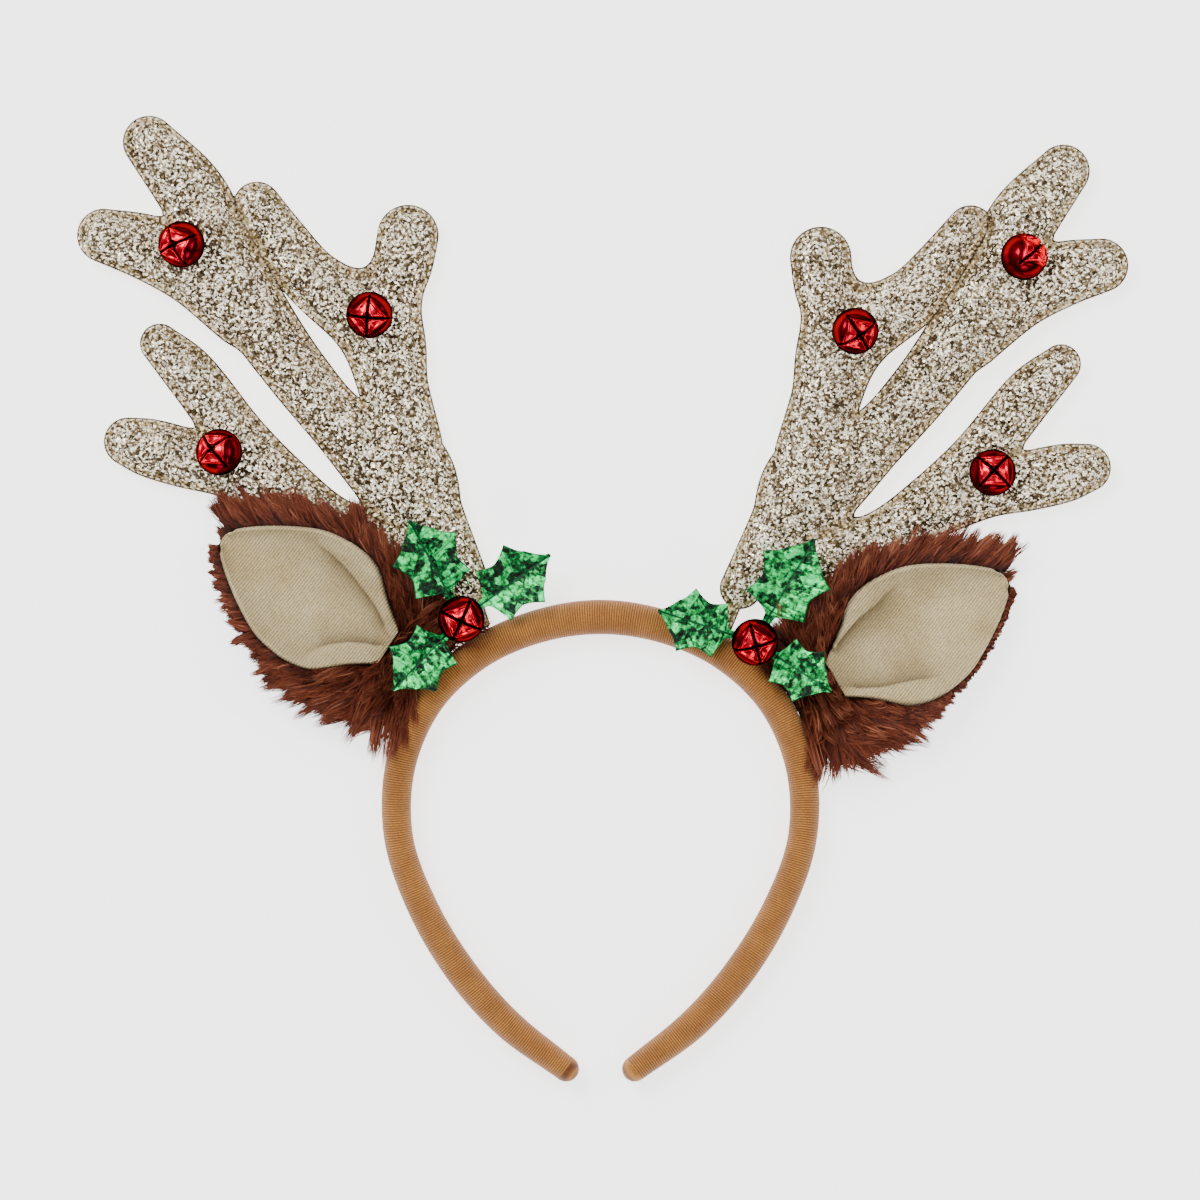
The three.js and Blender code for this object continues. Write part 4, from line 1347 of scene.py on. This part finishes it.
def make_glue(side, gel):
    name = f"glue_{side['name']}"
    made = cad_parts[name].copy()
    made.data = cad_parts[name].data.copy()
    made.name = f"clear_{name}"
    bpy.context.collection.objects.link(made)
    remesh = made.modifiers.new("even", "REMESH")
    remesh.mode = "VOXEL"
    remesh.voxel_size = GLUE_CELL * MM
    soften = made.modifiers.new("soft", "SMOOTH")
    soften.iterations = 4
    shown = bpy.context.evaluated_depsgraph_get()
    mesh = bpy.data.meshes.new_from_object(made.evaluated_get(shown))
    made.modifiers.clear()
    made.data = mesh
    mesh.materials.clear()
    mesh.materials.append(gel)
    mesh.polygons.foreach_set("use_smooth", np.ones(len(mesh.polygons), bool))
    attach(made, "root")
    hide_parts(name)


# Jingle bells

OCTANT_POINTS = 11
FACE_ROWS = 30
BODY_ROWS = 18
def bell_mesh():
    """A ball whose front is pressed to a square of four petals. They part along its diagonals,
    which lie along X and Y."""
    radius = BELL_DIAMETER / 2
    eighth = math.pi / 4
    # Columns lie closest together at the diagonals.
    spread = eighth * (np.arange(OCTANT_POINTS) / OCTANT_POINTS) ** 1.6
    octant = np.concatenate([spread, 2 * eighth - spread[::-1][:-1], [eighth]])
    turns = np.sort(np.concatenate([octant + 2 * eighth * quarter for quarter in range(4)]))
    off_side = turns % (2 * eighth) - eighth
    side_half = BELL_SQUARE * radius
    square = np.minimum(side_half / np.cos(off_side), radius * CORNER_REACH)
    start_z = np.sqrt(radius**2 - square**2)

    share = np.linspace(0.04, 1, FACE_ROWS)[:, None]
    reach = share * square
    off_slot = np.abs(reach * np.sin(eighth - np.abs(off_side)))
    to_side = side_half - reach * np.cos(off_side)
    at_corner = ridge(reach - 0.92 * radius, 0.5)
    slot = soft_step((SLOT_WIDTH / 2 * (1 + 2 * at_corner) + 0.2 - off_slot) / 0.25)
    slot = np.maximum(slot, soft_step((HOLE_WIDTH / 2 - reach) / 0.3 + 0.5))
    inner = soft_step((TURNED_IN * side_half - reach * np.cos(off_side)) / 0.4)
    middle_z = FACE_HEIGHT * radius
    z = middle_z + (start_z - middle_z) * share**1.15
    z += 0.32 * ridge(to_side - 0.6, 0.35) - 0.5 * ridge(to_side, 0.2) - 0.8 * inner
    z += 0.25 * ridge(off_slot - SLOT_WIDTH / 2 - 0.45, 0.25) - SLOT_DEPTH * slot
    # The slots, the creases along the square's sides and the turned-in middle are painted dark:
    # painted shade.
    crease = 0.95 * ridge(to_side, 0.4)
    face_dark = np.maximum(slot, np.maximum(crease, 0.7 * inner))

    polar = np.arccos(start_z / radius)
    rest = np.linspace(0, 1, BODY_ROWS + 1)[1:-1, None]
    lower = polar + (math.pi - polar) * rest
    # The body below the face is painted dark all over: painted shade, so that it reflects little of
    # the bright floor.
    body_dark = np.maximum(crease[-1] * ridge(rest, 0.05), BODY_SHADE)
    reach = np.vstack([reach, radius * np.sin(lower)])
    z = np.vstack([z, radius * np.cos(lower)])
    ring = np.stack([reach * np.cos(turns), reach * np.sin(turns), z], -1).reshape(-1, 3)
    points = np.vstack([ring, [(0, 0, middle_z - SLOT_DEPTH), (0, 0, -radius)]])
    dark = np.append(np.vstack([face_dark, body_dark]), [1, 0])
    return points, tube_faces(len(reach), len(turns)), dark


def make_bell(name, node, middle, turn, side, metal):
    points, faces, dark = bell_mesh()
    placed = points @ turn.T + middle
    marks = {"painted_shade": dark}
    make_piece(name, node, placed, faces, [metal], side["mirror"], marks)


def make_bells(side, field, heart, metal):
    name = side["name"]
    for k, (out, up, *aim) in enumerate(side["bells"]):
        node = f"antler_bell_{name}_{k + 1}"
        reach = out * ANTLER_REACH * (1 - side["antler"]["tuck"] * up)
        middle = field.to_band(np.array([[reach, up * ANTLER_RISE, 0]]))[0]
        middle[2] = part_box(node)[0][2] / MM + BELL_DIAMETER / 2
        make_bell(f"jingle_bell_{name}_{k + 1}", node, middle, face_to(*aim), side, metal)
    middle = heart + [0, 0, (LEAF_THICKNESS + BELL_DIAMETER) / 2]
    aim = side["sprig"]["bell"]
    make_bell(f"berry_bell_{name}", f"holly_bell_{name}", middle, face_to(*aim), side, metal)


# Stage


def make_stage():
    floor = bpy.data.meshes.new("floor")
    corners = [(-1, -1), (1, -1), (1, 1), (-1, 1)]
    floor.from_pydata([(x * FLOOR_HALF, y * FLOOR_HALF, 0) for x, y in corners], [], [(0, 1, 2, 3)])
    made = add_object("floor", floor)
    made.location.z = -FLOOR_DROP
    paint = Paint("pale_floor", Roughness=0.9)
    paint.set("Base Color", paint.mottle(300, (250, 250, 250), WHITE))
    paint.set("Emission Color", linear(*WHITE))
    paint.set("Emission Strength", FLOOR_GLOW)
    floor.materials.append(paint.made)


LIGHTS = [
    # name, place in metres, width in metres, watts
    ("key", (-0.7, 0.75, 1.5), 0.9, 26),
    ("fill", (0.95, 0.1, 1.2), 0.9, 9),
    ("low", (0.1, -1.1, 0.9), 0.7, 6),
]

# The studio is brightest towards one direction. Levels go with how near to it one looks.
BRIGHT_SKY = (-0.3, 0.4, 0.866)
SKY_LEVELS = [(0.0, 0.15), (0.45, 0.3), (0.75, 0.85), (1.0, 1.25)]


def make_lights():
    for name, place, width, power in LIGHTS:
        lamp = bpy.data.lights.new(name, "AREA")
        lamp.size = width
        lamp.energy = power
        made = add_object(name, lamp)
        made.location = place
        made.rotation_euler = aim_down(place)
    world = bpy.data.worlds.new("studio")
    bpy.context.scene.world = world
    world.use_nodes = True
    tree = world.node_tree
    shade = tree.nodes["Background"]
    coordinates = tree.nodes.new("ShaderNodeTexCoord")
    ramp = tree.nodes.new("ShaderNodeValToRGB")
    toward = tree.nodes.new("ShaderNodeVectorMath")
    toward.operation = "DOT_PRODUCT"
    toward.inputs[1].default_value = BRIGHT_SKY
    tree.links.new(coordinates.outputs["Generated"], toward.inputs[0])
    tree.links.new(toward.outputs["Value"], ramp.inputs["Fac"])
    tree.links.new(ramp.outputs["Color"], shade.inputs["Color"])
    for _ in SKY_LEVELS[2:]:
        ramp.color_ramp.elements.new(0.5)
    for element, (place, level) in zip(ramp.color_ramp.elements, SKY_LEVELS):
        element.position = place
        element.color = (level, level, level, 1)
    shade.inputs["Strength"].default_value = 0.85


def aim_down(place):
    """The turn that points a light at the part."""
    x, y, z = place
    return (math.atan2(math.hypot(x, y), z), 0, math.atan2(y, x) + math.pi / 2)


def make_camera():
    lens = bpy.data.cameras.new("camera")
    lens.lens = LENS
    lens.sensor_width = SENSOR
    made = add_object("camera", lens)
    made.location = (CAMERA_X * MM, CAMERA_Y * MM, CAMERA_HEIGHT * MM)
    bpy.context.scene.camera = made


def make_side(side, paints):
    field = AntlerField(side)
    make_antler(side, field, paints["glitter"], paints["thread"])
    make_lining(side, paints["twill"])
    make_fur(side, field, paints["fur"])
    rise = BAND_DEPTH + SPRIG_RISE + LEAF_THICKNESS / 2
    heart = beside_band(side["sprig"]["seat"], side["sprig"]["off"], rise)
    for index in range(len(side["leaves"])):
        make_leaf(side, index, heart, paints["foil"])
    make_bells(side, field, heart, paints["bell"])
    make_glue(side, paints["glue"])


make_camera()
make_lights()
make_stage()
make_band()
paints = {
    "glitter": glitter_fabric(),
    "thread": thread(),
    "twill": lining_twill(),
    "fur": fur_coat(),
    "foil": leaf_foil(),
    "bell": bell_metal(),
    "glue": clear_glue(),
}
for side in SIDES:
    make_side(side, paints)
